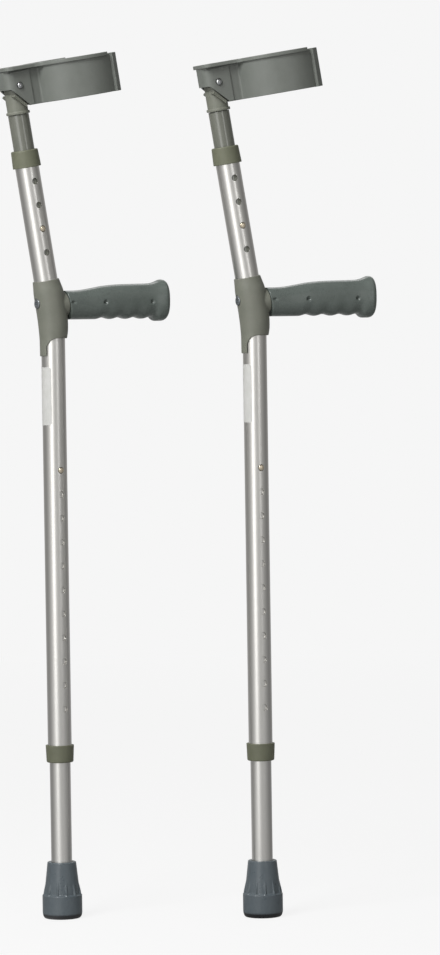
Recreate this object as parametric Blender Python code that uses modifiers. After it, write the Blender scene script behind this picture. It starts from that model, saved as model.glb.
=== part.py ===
# A pair of double adjustable elbow crutches. Units are metres, +Z is up.
# Each crutch is drawn in its own frame: the lower tube stands on z = 0 with its axis at x = y = 0,
# and the handle points along +X. The upper tube leans back from the bend, towards -X.
# Two empties then stand the crutches side by side, each with its own turn.

import math

import bmesh
import bpy
from mathutils import Matrix, Vector

MM = 0.001

# How the two crutches stand
STANCES = {
    "left": {"base": (0.0, 0.0), "turn": 31.0},
    "right": {"base": (214.0 * MM, -12.0 * MM), "turn": 22.5},
}

# Fits
TOUCH_GAP = 0.3 * MM
HOLE_CLEARANCE = 0.3 * MM
ROUND_STEPS = 20
SMALL_STEPS = 10

# Main tube
MAIN_RADIUS = 12.7 * MM
MAIN_WALL = 1.2 * MM
MAIN_BOTTOM = 169.4 * MM
BEND_HEIGHT = 634.0 * MM
BEND_ANGLE = math.radians(9.6)
BEND_RADIUS = 200.0 * MM
UPPER_LENGTH = 183.2 * MM
ARC_STEPS = 4

# Height holes
BUTTON_RADIUS = 2.95 * MM
HOLE_PITCH = 25.4 * MM
LEG_BUTTON_HEIGHT = 478.0 * MM
LEG_HOLES = 11
STEM_BUTTON_REACH = 101.5 * MM
STEM_HOLES_BELOW = 1
STEM_HOLES_ABOVE = 2

# Sliding tubes
INNER_RADIUS = 11.1 * MM
INNER_WALL = 1.6 * MM
LEG_ABOVE_BUTTON = 27.0 * MM
STEM_BELOW_BUTTON = 32.5 * MM

# Snap clips
CLIP_THICKNESS = 0.8 * MM
CLIP_WIDTH = 6.5 * MM
CLIP_SIDE_GAP = 1.05 * MM
CLIP_TIP = 5.0 * MM
CLIP_ARM = 22.0 * MM
BUTTON_PROUD = 1.3 * MM
BUTTON_DOME = 0.9 * MM

# Collars
COLLAR_GRIP = 15.6 * MM
COLLAR_LIP = 2.5 * MM
COLLAR_WALL = 2.1 * MM
COLLAR_TAPER = 0.8 * MM
COLLAR_FILLET = 1.5 * MM
COLLAR_CHAMFER = 0.6 * MM
SLIDING_GAP = 0.4 * MM

# Ferrule
FERRULE_HEIGHT = 60.0 * MM
FERRULE_RIM_RADIUS = 15.25 * MM
FERRULE_RIM_EDGE = (0.8 * MM, 1.0 * MM)
FERRULE_CONE_RADIUS = 19.0 * MM
FERRULE_BAND_RADIUS = 21.2 * MM
FERRULE_BAND_HEIGHT = 24.4 * MM
FERRULE_STEP = 1.8 * MM
FERRULE_STEP_EDGE = (0.9 * MM, 0.6 * MM)
FERRULE_BAND_EDGE = (0.2 * MM, 0.4 * MM)
FERRULE_FOOT_RADIUS = 18.0 * MM
FERRULE_FOOT_ROUND = 7.0 * MM
FERRULE_FLOOR = 9.0 * MM
TREAD_DEPTH = 1.5 * MM
TREAD_GROOVE = 2.2 * MM
TREAD_LAND = 2.4 * MM
TREAD_GROOVES = 2
TREAD_DRAFT = 0.3 * MM
FERRULE_RIBS = 12
FERRULE_RIB_WIDTH = 1.8 * MM
FERRULE_RIB_HEIGHT = 15.0 * MM
FERRULE_RIB_INSET = 0.7 * MM
FERRULE_RIB_SHOULDER = 2.5 * MM
FERRULE_RIB_OVERLAP = (1.0 * MM, 0.4 * MM)
FERRULE_RIB_ROOT = 2.0 * MM
WASHER_THICKNESS = 2.0 * MM

# Label
LABEL_BELOW_SLEEVE = 11.5 * MM
LABEL_HEIGHT = 61.5 * MM
LABEL_HALF_ANGLE = math.radians(63.0)
LABEL_THICKNESS = 0.2 * MM

# Handle moulding: stations along the bent axis, from the start of the bend,
# each with how far the section sits forward and its outer radius
SLEEVE_STATIONS = (
    (-18.2 * MM, 0.0, 14.2 * MM),
    (-6.0 * MM, 0.0, 14.3 * MM),
    (1.0 * MM, 0.3 * MM, 14.7 * MM),
    (8.0 * MM, 0.8 * MM, 15.5 * MM),
    (18.0 * MM, 1.0 * MM, 16.0 * MM),
    (28.0 * MM, 0.9 * MM, 16.1 * MM),
    (38.0 * MM, 0.9 * MM, 16.2 * MM),
    (50.0 * MM, 0.9 * MM, 16.0 * MM),
    (57.0 * MM, 0.5 * MM, 15.0 * MM),
    (63.3 * MM, 0.0, 14.1 * MM),
)
SLEEVE_FRONT_BELOW_BEND = 16.0 * MM
TONGUE_HALF_ANGLE = math.radians(34.0)
TONGUE_FILLET = 10.0 * MM
HANDLE_ABOVE_BEND = 21.0 * MM
NECK_RADIUS = 13.3 * MM
NECK_END = 14.4 * MM
NECK_EDGE = 0.6 * MM
PEG_RADIUS = 9.0 * MM
PEG_END = 116.0 * MM
PEG_CORE_RADIUS = 6.3 * MM
PEG_WEB_END = 44.0 * MM

# Handle bolt and nut
BOLT_RADIUS = 3.0 * MM
BOLT_HEAD_RADIUS = 5.2 * MM
BOLT_HEAD_HEIGHT = 1.7 * MM
BOLT_CROWN_RADIUS = 3.7 * MM
BOLT_TIP_EDGE = 0.5 * MM
BOLT_SEAT_WALL = 1.2 * MM
NUT_RADIUS = 5.7 * MM
NUT_THICKNESS = 5.0 * MM
BOLT_PAST_NUT = 1.5 * MM

# Hand grip. The tables give, in millimetres, the distance from the grip's start
# and the height above the handle's axis, or the half width, there.
GRIP_END = 137.0 * MM
GRIP_BORE_PAST_PEG = 2.0 * MM
GRIP_SQUARENESS = 2.5
GRIP_SIDES = 16
GRIP_TOP = ((0.0, 13.6), (16.0, 14.0), (32.0, 16.2), (46.0, 18.5), (64.0, 20.0), (90.0, 20.6),
            (104.0, 21.1), (111.0, 22.6), (117.0, 24.9), (120.5, 25.6))
GRIP_HALF_WIDTH = ((0.0, 13.6), (24.0, 13.6), (48.0, 14.6), (90.0, 14.8), (104.0, 15.2),
                   (113.0, 17.0), (119.0, 17.8))
GRIP_BOTTOM = -17.1 * MM
GRIP_FLARE_BOTTOM = -19.7 * MM
GRIP_FLARE_START = 104.0 * MM
FINGER_START = 34.8 * MM
FINGER_PITCH = 19.4 * MM
FINGER_COUNT = 4
FINGER_DEPTH = 1.8 * MM
GRIP_NOSE = 6.0 * MM
GRIP_NOSE_LEAD = 1.5 * MM
GRIP_START_ROUND = 0.8 * MM
GRIP_LEAN_LENGTH = 18.0 * MM

# Stem head, measured from the rivet's centre
RIVET_REACH = 254.0 * MM
BEAD_BELOW_RIVET = 30.0 * MM
BEAD_HEIGHT = 3.0 * MM
BEAD_RADIUS = 12.6 * MM
BEAD_EDGE = 0.6 * MM
PLUG_LENGTH = 25.0 * MM
HEAD_FLAT_DEPTH = 1.5 * MM
HEAD_FLAT_LOW = -8.0 * MM
SHOULDER_GAP = 1.5 * MM
SHOULDER_THICKNESS = 3.0 * MM
SHOULDER_HALF_WIDTH = 13.6 * MM
SHOULDER_REACH = (1.0 * MM, 19.0 * MM)

# Cuff, measured from the rivet's centre
CUFF_TOP = 20.5 * MM
CUFF_BOTTOM = -22.2 * MM
CUFF_CENTRE = 72.0 * MM
CUFF_RADIUS = 49.0 * MM
CUFF_WALL = 3.0 * MM
CUFF_ARM_END = math.radians(50.0)
CUFF_LIP_ANGLE = math.radians(9.5)
CUFF_LIP_PROUD = 4.0 * MM
CUFF_RIM_END = math.radians(66.0)
CUFF_RIM_PROUD = 2.0 * MM
CUFF_RIM_HEIGHT = 4.0 * MM
RIM_HALF_WIDTH = 19.0 * MM
RIM_REAR = -15.6 * MM
CHEEK_WALL = 2.7 * MM
CHEEK_REAR = -14.6 * MM
CHEEK_CORNER = 9.0 * MM
CHEEK_FILLET = 6.0 * MM
CHEEK_EDGE_START = (-10.5 * MM, -3.0 * MM)
CHEEK_EDGE_SLOPE = math.radians(44.0)
CUFF_ARC_STEPS = 34

# Cuff rivet
RIVET_RADIUS = 2.5 * MM
RIVET_HEAD_RADIUS = 3.3 * MM
RIVET_HEAD_HEIGHT = 1.5 * MM

# Values that follow from the ones above
BEND_TANGENT = BEND_RADIUS * math.tan(BEND_ANGLE / 2)
BEND_LENGTH = BEND_RADIUS * BEND_ANGLE
BEND_START = BEND_HEIGHT - BEND_TANGENT
MAIN_BORE = MAIN_RADIUS - MAIN_WALL
SLEEVE_BORE = MAIN_RADIUS + TOUCH_GAP
INNER_BORE = INNER_RADIUS - INNER_WALL
HOLE_RADIUS = BUTTON_RADIUS + HOLE_CLEARANCE
FERRULE_BORE = INNER_RADIUS + TOUCH_GAP
LEG_BOTTOM = FERRULE_FLOOR + WASHER_THICKNESS + 2 * TOUCH_GAP
LEG_TOP = LEG_BUTTON_HEIGHT + LEG_ABOVE_BUTTON
STEM_BOTTOM = STEM_BUTTON_REACH - STEM_BELOW_BUTTON
STEM_TOP = RIVET_REACH - BEAD_BELOW_RIVET - TOUCH_GAP
BOLT_HOLE = BOLT_RADIUS + HOLE_CLEARANCE
HANDLE_HEIGHT = BEND_HEIGHT + HANDLE_ABOVE_BEND
HANDLE_AXIS_BACK = HANDLE_ABOVE_BEND * math.tan(BEND_ANGLE)
SLEEVE_FRONT_BOTTOM = BEND_HEIGHT - SLEEVE_FRONT_BELOW_BEND
LABEL_TOP = BEND_START + SLEEVE_STATIONS[0][0] - LABEL_BELOW_SLEEVE
BOLT_SEAT = -HANDLE_AXIS_BACK - SLEEVE_BORE - BOLT_SEAT_WALL
NUT_START = PEG_WEB_END + TOUCH_GAP
GRIP_START = NECK_END + TOUCH_GAP
CHEEK_INNER = INNER_RADIUS + SLIDING_GAP
CHEEK_OUTER = CHEEK_INNER + CHEEK_WALL
RIVET_HOLE = RIVET_RADIUS + HOLE_CLEARANCE
FAR = 60.0 * MM


# Scene and materials


def clear_scene():
    for obj in list(bpy.data.objects):
        bpy.data.objects.remove(obj)


def make_material(name, color, roughness, metallic=0.0):
    material = bpy.data.materials.new(name)
    material.use_nodes = True
    shader = material.node_tree.nodes["Principled BSDF"]
    shader.inputs["Base Color"].default_value = (*color, 1.0)
    shader.inputs["Roughness"].default_value = roughness
    shader.inputs["Metallic"].default_value = metallic
    return material


def make_materials():
    return {
        "aluminium": make_material("satin aluminium", (0.62, 0.61, 0.58), 0.34, 1.0),
        "plastic": make_material("grey olive plastic", (0.19, 0.20, 0.16), 0.48),
        "collar": make_material("olive plastic", (0.14, 0.15, 0.11), 0.52),
        "stem": make_material("grey coated tube", (0.17, 0.175, 0.145), 0.32),
        "grip": make_material("blue green grip", (0.08, 0.105, 0.10), 0.42),
        "rubber": make_material("blue grey rubber", (0.075, 0.10, 0.12), 0.62),
        "steel": make_material("bright steel", (0.66, 0.66, 0.66), 0.25, 1.0),
        "brass": make_material("brass", (0.63, 0.40, 0.20), 0.32, 1.0),
        "label": make_material("white label", (0.86, 0.87, 0.88), 0.5),
    }


# Shapes


def bake(obj):
    """Leave the object with its modifiers' result as its own mesh."""
    graph = bpy.context.evaluated_depsgraph_get()
    mesh = bpy.data.meshes.new_from_object(obj.evaluated_get(graph))
    old = obj.data
    if obj.type == "MESH":
        obj.modifiers.clear()
        obj.data = mesh
        bpy.data.meshes.remove(old)
        return obj
    result = new_object(mesh)
    result.matrix_world = obj.matrix_world
    bpy.data.objects.remove(obj)
    bpy.data.curves.remove(old)
    return result


def new_object(data):
    obj = bpy.data.objects.new("piece", data)
    bpy.context.scene.collection.objects.link(obj)
    return obj


def tidy_mesh(obj):
    """Weld what lies in one place and turn every face outwards."""
    work = bmesh.new()
    work.from_mesh(obj.data)
    bmesh.ops.remove_doubles(work, verts=work.verts, dist=1e-6)
    bmesh.ops.recalc_face_normals(work, faces=work.faces)
    work.to_mesh(obj.data)
    work.free()
    return obj


def moved(obj, matrix):
    obj.data.transform(matrix)
    return obj


def turned(profile, closed, steps=ROUND_STEPS):
    """Turn (radius, height) points about Z. An open profile starts and ends on the axis."""
    mesh = bpy.data.meshes.new("turned")
    verts = [(radius, 0.0, height) for radius, height in profile]
    edges = [(i, i + 1) for i in range(len(verts) - 1)]
    if closed:
        edges.append((len(verts) - 1, 0))
    mesh.from_pydata(verts, edges, [])
    obj = new_object(mesh)
    screw = obj.modifiers.new("turn", "SCREW")
    screw.axis = "Z"
    screw.steps = steps
    screw.render_steps = steps
    screw.use_merge_vertices = True
    screw.merge_threshold = 1e-5
    return tidy_mesh(bake(obj))


def ring(inner, outer, low, high, steps=ROUND_STEPS):
    return turned(((outer, high), (outer, low), (inner, low), (inner, high)), True, steps)


def rod(radius, low, high, steps=ROUND_STEPS):
    return turned(((0.0, high), (radius, high), (radius, low), (0.0, low)), False, steps)


def prism(outline, low, high):
    """A flat outline in X and Y, filled and drawn out from low to high along Z."""
    curve = bpy.data.curves.new("outline", "CURVE")
    curve.dimensions = "2D"
    curve.fill_mode = "BOTH"
    curve.extrude = (high - low) / 2
    spline = curve.splines.new("POLY")
    spline.points.add(len(outline) - 1)
    for point, (x, y) in zip(spline.points, outline):
        point.co = (x, y, 0.0, 1.0)
    spline.use_cyclic_u = True
    obj = tidy_mesh(bake(new_object(curve)))
    return moved(obj, Matrix.Translation((0.0, 0.0, (low + high) / 2)))


def swept(points, radii, sides=ROUND_STEPS):
    """A round bar along the points, with a radius at each."""
    curve = bpy.data.curves.new("path", "CURVE")
    curve.dimensions = "3D"
    curve.bevel_depth = 1.0
    curve.bevel_resolution = sides // 2 - 2
    curve.use_fill_caps = True
    spline = curve.splines.new("POLY")
    spline.points.add(len(points) - 1)
    for point, place, radius in zip(spline.points, points, radii):
        point.co = (*place, 1.0)
        point.radius = radius
    return tidy_mesh(bake(new_object(curve)))


def combine(base, tool, operation):
    modifier = base.modifiers.new("combine", "BOOLEAN")
    modifier.solver = "EXACT"
    modifier.operation = operation
    modifier.object = tool
    bake(base)
    mesh = tool.data
    bpy.data.objects.remove(tool)
    bpy.data.meshes.remove(mesh)
    return base


def cut(base, tool):
    return combine(base, tool, "DIFFERENCE")


def join(base, tool):
    return combine(base, tool, "UNION")


def gather(pieces):
    """Put pieces that don't meet into one mesh, for one cut or one joint."""
    work = bmesh.new()
    for piece in pieces:
        work.from_mesh(piece.data)
        mesh = piece.data
        bpy.data.objects.remove(piece)
        bpy.data.meshes.remove(mesh)
    mesh = bpy.data.meshes.new("gathered")
    work.to_mesh(mesh)
    work.free()
    return new_object(mesh)


def arc(centre, radius, start, end, steps):
    return [
        (centre[0] + radius * math.cos(start + (end - start) * i / steps),
         centre[1] + radius * math.sin(start + (end - start) * i / steps))
        for i in range(steps + 1)
    ]


def along_x(obj):
    """Turn a piece made along Z so that it lies along X."""
    return moved(obj, Matrix.Rotation(math.pi / 2, 4, "Y"))


def along_y(obj):
    """Turn a piece made along Z so that it lies along -Y."""
    return moved(obj, Matrix.Rotation(math.pi / 2, 4, "X"))


def side_prism(outline, half_width):
    """An outline in X and Z, drawn out to both sides along Y."""
    return along_y(prism(outline, -half_width, half_width))


def read_table(table, x):
    """The value at x of a smooth line through the table's points."""
    for (x0, y0), (x1, y1) in zip(table, table[1:]):
        if x <= x1:
            share = (x - x0) / (x1 - x0)
            share = share * share * (3 - 2 * share)
            return y0 + (y1 - y0) * share
    return table[-1][1]


# The bent axis


def axis_point(station, forward=0.0):
    """A point on the bent axis, or in front of it, at a distance from the start of the bend."""
    turn = min(max(station / BEND_RADIUS, 0.0), BEND_ANGLE)
    x = -BEND_RADIUS * (1 - math.cos(turn))
    z = BEND_START + BEND_RADIUS * math.sin(turn)
    past = min(station, 0.0) + max(station - BEND_LENGTH, 0.0)
    x += -past * math.sin(turn) + forward * math.cos(turn)
    z += past * math.cos(turn) + forward * math.sin(turn)
    return Vector((x, 0.0, z))


def upper_matrix(reach=0.0):
    """The frame of the upper tube, at a distance above the bend's corner."""
    corner = Matrix.Translation((0.0, 0.0, BEND_HEIGHT)) @ Matrix.Rotation(-BEND_ANGLE, 4, "Y")
    return corner @ Matrix.Translation((0.0, 0.0, reach))


def bend_stations(low, high):
    arc_stations = [BEND_LENGTH * i / ARC_STEPS for i in range(ARC_STEPS + 1)]
    return [low] + arc_stations + [high]


def bent_bar(radius, low, high):
    stations = bend_stations(low, high)
    return swept([axis_point(s) for s in stations], [radius] * len(stations))


def side_hole(height):
    """A cutter for one button hole in the -Y side of a tube."""
    hole = along_y(rod(HOLE_RADIUS, INNER_BORE / 2, MAIN_RADIUS + FAR, SMALL_STEPS))
    return moved(hole, Matrix.Translation((0.0, 0.0, height)))


# Pieces of the lower end


def build_ferrule():
    rim_in, rim_down = FERRULE_RIM_EDGE
    step_in, step_up = FERRULE_STEP_EDGE
    band_in, band_down = FERRULE_BAND_EDGE
    cone_start = FERRULE_HEIGHT - rim_down
    step_top = FERRULE_BAND_HEIGHT + FERRULE_STEP
    profile = [
        (0.0, FERRULE_FLOOR),
        (FERRULE_BORE, FERRULE_FLOOR),
        (FERRULE_BORE, FERRULE_HEIGHT),
        (FERRULE_RIM_RADIUS - rim_in, FERRULE_HEIGHT),
        (FERRULE_RIM_RADIUS, cone_start),
        (FERRULE_CONE_RADIUS, step_top),
        (FERRULE_BAND_RADIUS - step_in, FERRULE_BAND_HEIGHT + step_up),
        (FERRULE_BAND_RADIUS - band_in, FERRULE_BAND_HEIGHT - band_down),
    ]
    side_depth = FERRULE_BAND_RADIUS - FERRULE_FOOT_RADIUS
    for i in range(5):
        turn = math.radians(22.5 * i)
        profile.append((FERRULE_FOOT_RADIUS + side_depth * math.cos(turn),
                        FERRULE_FOOT_ROUND * (1 - math.sin(turn))))
    radius = FERRULE_FOOT_RADIUS - TREAD_LAND
    for _ in range(TREAD_GROOVES):
        profile += [
            (radius, 0.0),
            (radius - TREAD_DRAFT, TREAD_DEPTH),
            (radius - TREAD_GROOVE + TREAD_DRAFT, TREAD_DEPTH),
            (radius - TREAD_GROOVE, 0.0),
        ]
        radius -= TREAD_GROOVE + TREAD_LAND
    profile.append((0.0, 0.0))
    ferrule = turned(profile, False)
    slope = (FERRULE_CONE_RADIUS - FERRULE_RIM_RADIUS) / (cone_start - step_top)
    rib_top = FERRULE_BAND_HEIGHT + FERRULE_RIB_HEIGHT
    cone_at_rib_top = FERRULE_CONE_RADIUS - slope * (rib_top - step_top)
    overlap_below, overlap_above = FERRULE_RIB_OVERLAP
    rib_root = FERRULE_BORE + FERRULE_RIB_ROOT
    rib_edge = FERRULE_BAND_RADIUS - FERRULE_RIB_INSET
    outline = (
        (rib_root, FERRULE_BAND_HEIGHT - overlap_below),
        (rib_edge, FERRULE_BAND_HEIGHT - overlap_below),
        (rib_edge, FERRULE_BAND_HEIGHT + FERRULE_RIB_SHOULDER),
        (cone_at_rib_top - overlap_above, rib_top),
        (rib_root, rib_top),
    )
    ribs = []
    for i in range(FERRULE_RIBS):
        rib = side_prism(outline, FERRULE_RIB_WIDTH / 2)
        ribs.append(moved(rib, Matrix.Rotation(2 * math.pi * (i + 0.5) / FERRULE_RIBS, 4, "Z")))
    return join(ferrule, gather(ribs))


def build_ferrule_washer():
    low = FERRULE_FLOOR + TOUCH_GAP
    radius = FERRULE_BORE - 2 * TOUCH_GAP
    return rod(radius, low, low + WASHER_THICKNESS)


def build_leg_tube():
    tube = ring(INNER_BORE, INNER_RADIUS, LEG_BOTTOM, LEG_TOP)
    return cut(tube, side_hole(LEG_BUTTON_HEIGHT))


def build_clip():
    """A bent spring strip with its button, with the button's axis through the origin along -Y."""
    outer = INNER_BORE - CLIP_SIDE_GAP
    inner = outer - CLIP_THICKNESS
    outline = [(-outer, CLIP_TIP)]
    outline += arc((0.0, -CLIP_ARM), outer, math.pi, 2 * math.pi, 8)
    outline += [(outer, CLIP_TIP), (inner, CLIP_TIP)]
    outline += arc((0.0, -CLIP_ARM), inner, 2 * math.pi, math.pi, 8)
    outline.append((-inner, CLIP_TIP))
    strip = prism(outline, -CLIP_WIDTH / 2, CLIP_WIDTH / 2)
    to_side = Matrix(((0, 0, 1, 0), (1, 0, 0, 0), (0, 1, 0, 0), (0, 0, 0, 1)))
    moved(strip, to_side)
    tip = MAIN_RADIUS + BUTTON_PROUD
    profile = [(0.0, tip)]
    for i in range(1, 4):
        turn = math.radians(30 * i)
        profile.append((BUTTON_RADIUS * math.sin(turn), tip - BUTTON_DOME * (1 - math.cos(turn))))
    root = inner + CLIP_THICKNESS / 2
    profile += [(BUTTON_RADIUS, root), (0.0, root)]
    return join(strip, along_y(turned(profile, False, SMALL_STEPS)))


def build_collar():
    """A collar on the end of the main tube, with the tube's end at z = 0 and the tube above it."""
    low = -TOUCH_GAP - COLLAR_LIP
    wide = SLEEVE_BORE + COLLAR_WALL
    narrow = wide - COLLAR_TAPER
    profile = [(wide - COLLAR_CHAMFER, COLLAR_GRIP), (wide, COLLAR_GRIP - COLLAR_CHAMFER)]
    for i in range(4):
        turn = math.radians(30 * i)
        profile.append((narrow - COLLAR_FILLET * (1 - math.cos(turn)),
                        low + COLLAR_FILLET * (1 - math.sin(turn))))
    profile += [
        (INNER_RADIUS + SLIDING_GAP, low),
        (INNER_RADIUS + SLIDING_GAP, -TOUCH_GAP),
        (SLEEVE_BORE, -TOUCH_GAP),
        (SLEEVE_BORE, COLLAR_GRIP),
    ]
    return turned(profile, True)


# The main tube and its handle


def build_main_tube():
    low = MAIN_BOTTOM - BEND_START
    high = BEND_LENGTH + UPPER_LENGTH - BEND_TANGENT
    tube = cut(bent_bar(MAIN_RADIUS, low, high), bent_bar(MAIN_BORE, low - FAR, high + FAR))
    holes = [side_hole(LEG_BUTTON_HEIGHT - HOLE_PITCH * i) for i in range(LEG_HOLES)]
    for i in range(-STEM_HOLES_BELOW, STEM_HOLES_ABOVE + 1):
        reach = STEM_BUTTON_REACH + HOLE_PITCH * i
        holes.append(moved(side_hole(0.0), upper_matrix(reach)))
    bolt_hole = along_x(rod(BOLT_HOLE, -FAR, FAR, SMALL_STEPS))
    holes.append(moved(bolt_hole, Matrix.Translation((0.0, 0.0, HANDLE_HEIGHT))))
    return cut(tube, gather(holes))


def build_handle_moulding():
    points = [axis_point(station, forward) for station, forward, _ in SLEEVE_STATIONS]
    sleeve = swept(points, [radius for _, _, radius in SLEEVE_STATIONS])
    neck_profile = (
        (0.0, 0.0),
        (NECK_RADIUS - NECK_EDGE, 0.0),
        (NECK_RADIUS, -NECK_EDGE),
        (NECK_RADIUS, -NECK_END),
        (0.0, -NECK_END),
    )
    at_neck = Matrix.Translation((NECK_END, 0.0, HANDLE_HEIGHT)) @ Matrix.Rotation(-BEND_ANGLE, 4, "Y")
    join(sleeve, moved(along_x(turned(neck_profile, False)), at_neck))
    peg_profile = (
        (PEG_RADIUS - NECK_EDGE, PEG_END),
        (PEG_RADIUS, PEG_END - NECK_EDGE),
        (PEG_RADIUS, 0.0),
        (0.0, 0.0),
        (0.0, PEG_WEB_END),
        (PEG_CORE_RADIUS, PEG_WEB_END),
        (PEG_CORE_RADIUS, PEG_END),
    )
    at_handle = Matrix.Translation((0.0, 0.0, HANDLE_HEIGHT))
    join(sleeve, moved(along_x(turned(peg_profile, True)), at_handle))
    cut(sleeve, bent_bar(SLEEVE_BORE, -FAR, BEND_LENGTH + FAR))
    edge = -SLEEVE_STATIONS[0][2] * math.cos(TONGUE_HALF_ANGLE)
    corner = (edge + TONGUE_FILLET, SLEEVE_FRONT_BOTTOM - TONGUE_FILLET)
    outline = arc(corner, TONGUE_FILLET, math.pi, math.pi / 2, 4)
    outline += [
        (FAR, SLEEVE_FRONT_BOTTOM),
        (FAR, SLEEVE_FRONT_BOTTOM - FAR),
        (edge, SLEEVE_FRONT_BOTTOM - FAR),
    ]
    cut(sleeve, side_prism(outline, FAR))
    bolt_way = (
        (0.0, PEG_WEB_END + TOUCH_GAP),
        (BOLT_HOLE, PEG_WEB_END + TOUCH_GAP),
        (BOLT_HOLE, BOLT_SEAT),
        (BOLT_HEAD_RADIUS + HOLE_CLEARANCE, BOLT_SEAT),
        (BOLT_HEAD_RADIUS + HOLE_CLEARANCE, BOLT_SEAT - FAR),
        (0.0, BOLT_SEAT - FAR),
    )
    return cut(sleeve, moved(along_x(turned(bolt_way, False, SMALL_STEPS)), at_handle))


def build_handle_bolt():
    seat = BOLT_SEAT - TOUCH_GAP
    tip = NUT_START + NUT_THICKNESS + BOLT_PAST_NUT
    profile = (
        (0.0, tip),
        (BOLT_RADIUS - BOLT_TIP_EDGE, tip),
        (BOLT_RADIUS, tip - BOLT_TIP_EDGE),
        (BOLT_RADIUS, seat),
        (BOLT_HEAD_RADIUS, seat),
        (BOLT_HEAD_RADIUS, seat - BOLT_HEAD_HEIGHT / 2),
        (BOLT_CROWN_RADIUS, seat - BOLT_HEAD_HEIGHT),
        (0.0, seat - BOLT_HEAD_HEIGHT),
    )
    bolt = along_x(turned(profile, False, SMALL_STEPS))
    return moved(bolt, Matrix.Translation((0.0, 0.0, HANDLE_HEIGHT)))


def build_handle_nut():
    nut = along_x(rod(NUT_RADIUS, NUT_START, NUT_START + NUT_THICKNESS, 6))
    cut(nut, along_x(rod(BOLT_HOLE, 0.0, NUT_START + FAR, SMALL_STEPS)))
    return moved(nut, Matrix.Translation((0.0, 0.0, HANDLE_HEIGHT)))


def grip_bottom(reach):
    """The underside's height below the handle axis, at a distance from the grip's start."""
    low = GRIP_BOTTOM
    past = reach - FINGER_START
    if 0 < past < FINGER_PITCH * FINGER_COUNT:
        low += FINGER_DEPTH / 2 * (1 - math.cos(2 * math.pi * past / FINGER_PITCH))
    if reach > GRIP_FLARE_START:
        low = min(low, low + (GRIP_FLARE_BOTTOM - GRIP_BOTTOM)
                  * min((reach - GRIP_FLARE_START) / GRIP_NOSE, 1.0))
    return low


def grip_section(reach, shrink):
    """One ring of the grip, drawn in by shrink all round."""
    top = read_table(GRIP_TOP, reach / MM) * MM - shrink
    low = grip_bottom(reach) + shrink
    width = read_table(GRIP_HALF_WIDTH, reach / MM) * MM - shrink
    middle = (top + low) / 2
    half = (top - low) / 2
    points = []
    for i in range(GRIP_SIDES):
        turn = 2 * math.pi * i / GRIP_SIDES
        across = math.copysign(abs(math.cos(turn)) ** (2 / GRIP_SQUARENESS), math.cos(turn))
        up = math.copysign(abs(math.sin(turn)) ** (2 / GRIP_SQUARENESS), math.sin(turn))
        height = middle + half * up
        lean = height * math.tan(BEND_ANGLE) * max(1.0 - reach / GRIP_LEAN_LENGTH, 0.0)
        points.append((GRIP_START + reach - lean, width * across, HANDLE_HEIGHT + height))
    return points


def build_handle_grip():
    length = GRIP_END - GRIP_START
    stations = [(0.0, GRIP_START_ROUND), (GRIP_START_ROUND, 0.0), (GRIP_LEAN_LENGTH, 0.0)]
    quarter = FINGER_PITCH / 4
    for i in range(FINGER_COUNT * 4 + 1):
        stations.append((FINGER_START + quarter * i, 0.0))
    stations.append((length - GRIP_NOSE - GRIP_NOSE_LEAD, 0.0))
    for i in range(5):
        turn = math.radians(22.5 * i)
        stations.append((length - GRIP_NOSE * (1 - math.sin(turn)), GRIP_NOSE * (1 - math.cos(turn))))
    work = bmesh.new()
    rings = [[work.verts.new(point) for point in grip_section(*station)] for station in stations]
    for near, far in zip(rings, rings[1:]):
        for i in range(GRIP_SIDES):
            j = (i + 1) % GRIP_SIDES
            work.faces.new((near[i], near[j], far[j], far[i]))
    work.faces.new(rings[0])
    work.faces.new(rings[-1])
    bmesh.ops.recalc_face_normals(work, faces=work.faces)
    mesh = bpy.data.meshes.new("grip")
    work.to_mesh(mesh)
    work.free()
    grip = new_object(mesh)
    bore = along_x(rod(PEG_RADIUS + TOUCH_GAP, 0.0, PEG_END + GRIP_BORE_PAST_PEG))
    return cut(grip, moved(bore, Matrix.Translation((0.0, 0.0, HANDLE_HEIGHT))))


def build_label():
    inner = MAIN_RADIUS + TOUCH_GAP
    start = math.pi - LABEL_HALF_ANGLE
    end = math.pi + LABEL_HALF_ANGLE
    outline = arc((0.0, 0.0), inner + LABEL_THICKNESS, start, end, 14)
    outline += arc((0.0, 0.0), inner, end, start, 14)
    return prism(outline, LABEL_TOP - LABEL_HEIGHT, LABEL_TOP)


# Pieces of the upper end


def build_stem_tube():
    tube = ring(INNER_BORE, INNER_RADIUS, STEM_BOTTOM, STEM_TOP)
    return cut(tube, side_hole(STEM_BUTTON_REACH))


def edge_frame():
    """The direction down the cheek's slanted edge, and the one out of it, in X and Z."""
    down = (math.cos(CHEEK_EDGE_SLOPE), -math.sin(CHEEK_EDGE_SLOPE))
    out = (-math.sin(CHEEK_EDGE_SLOPE), -math.cos(CHEEK_EDGE_SLOPE))
    return down, out


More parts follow.
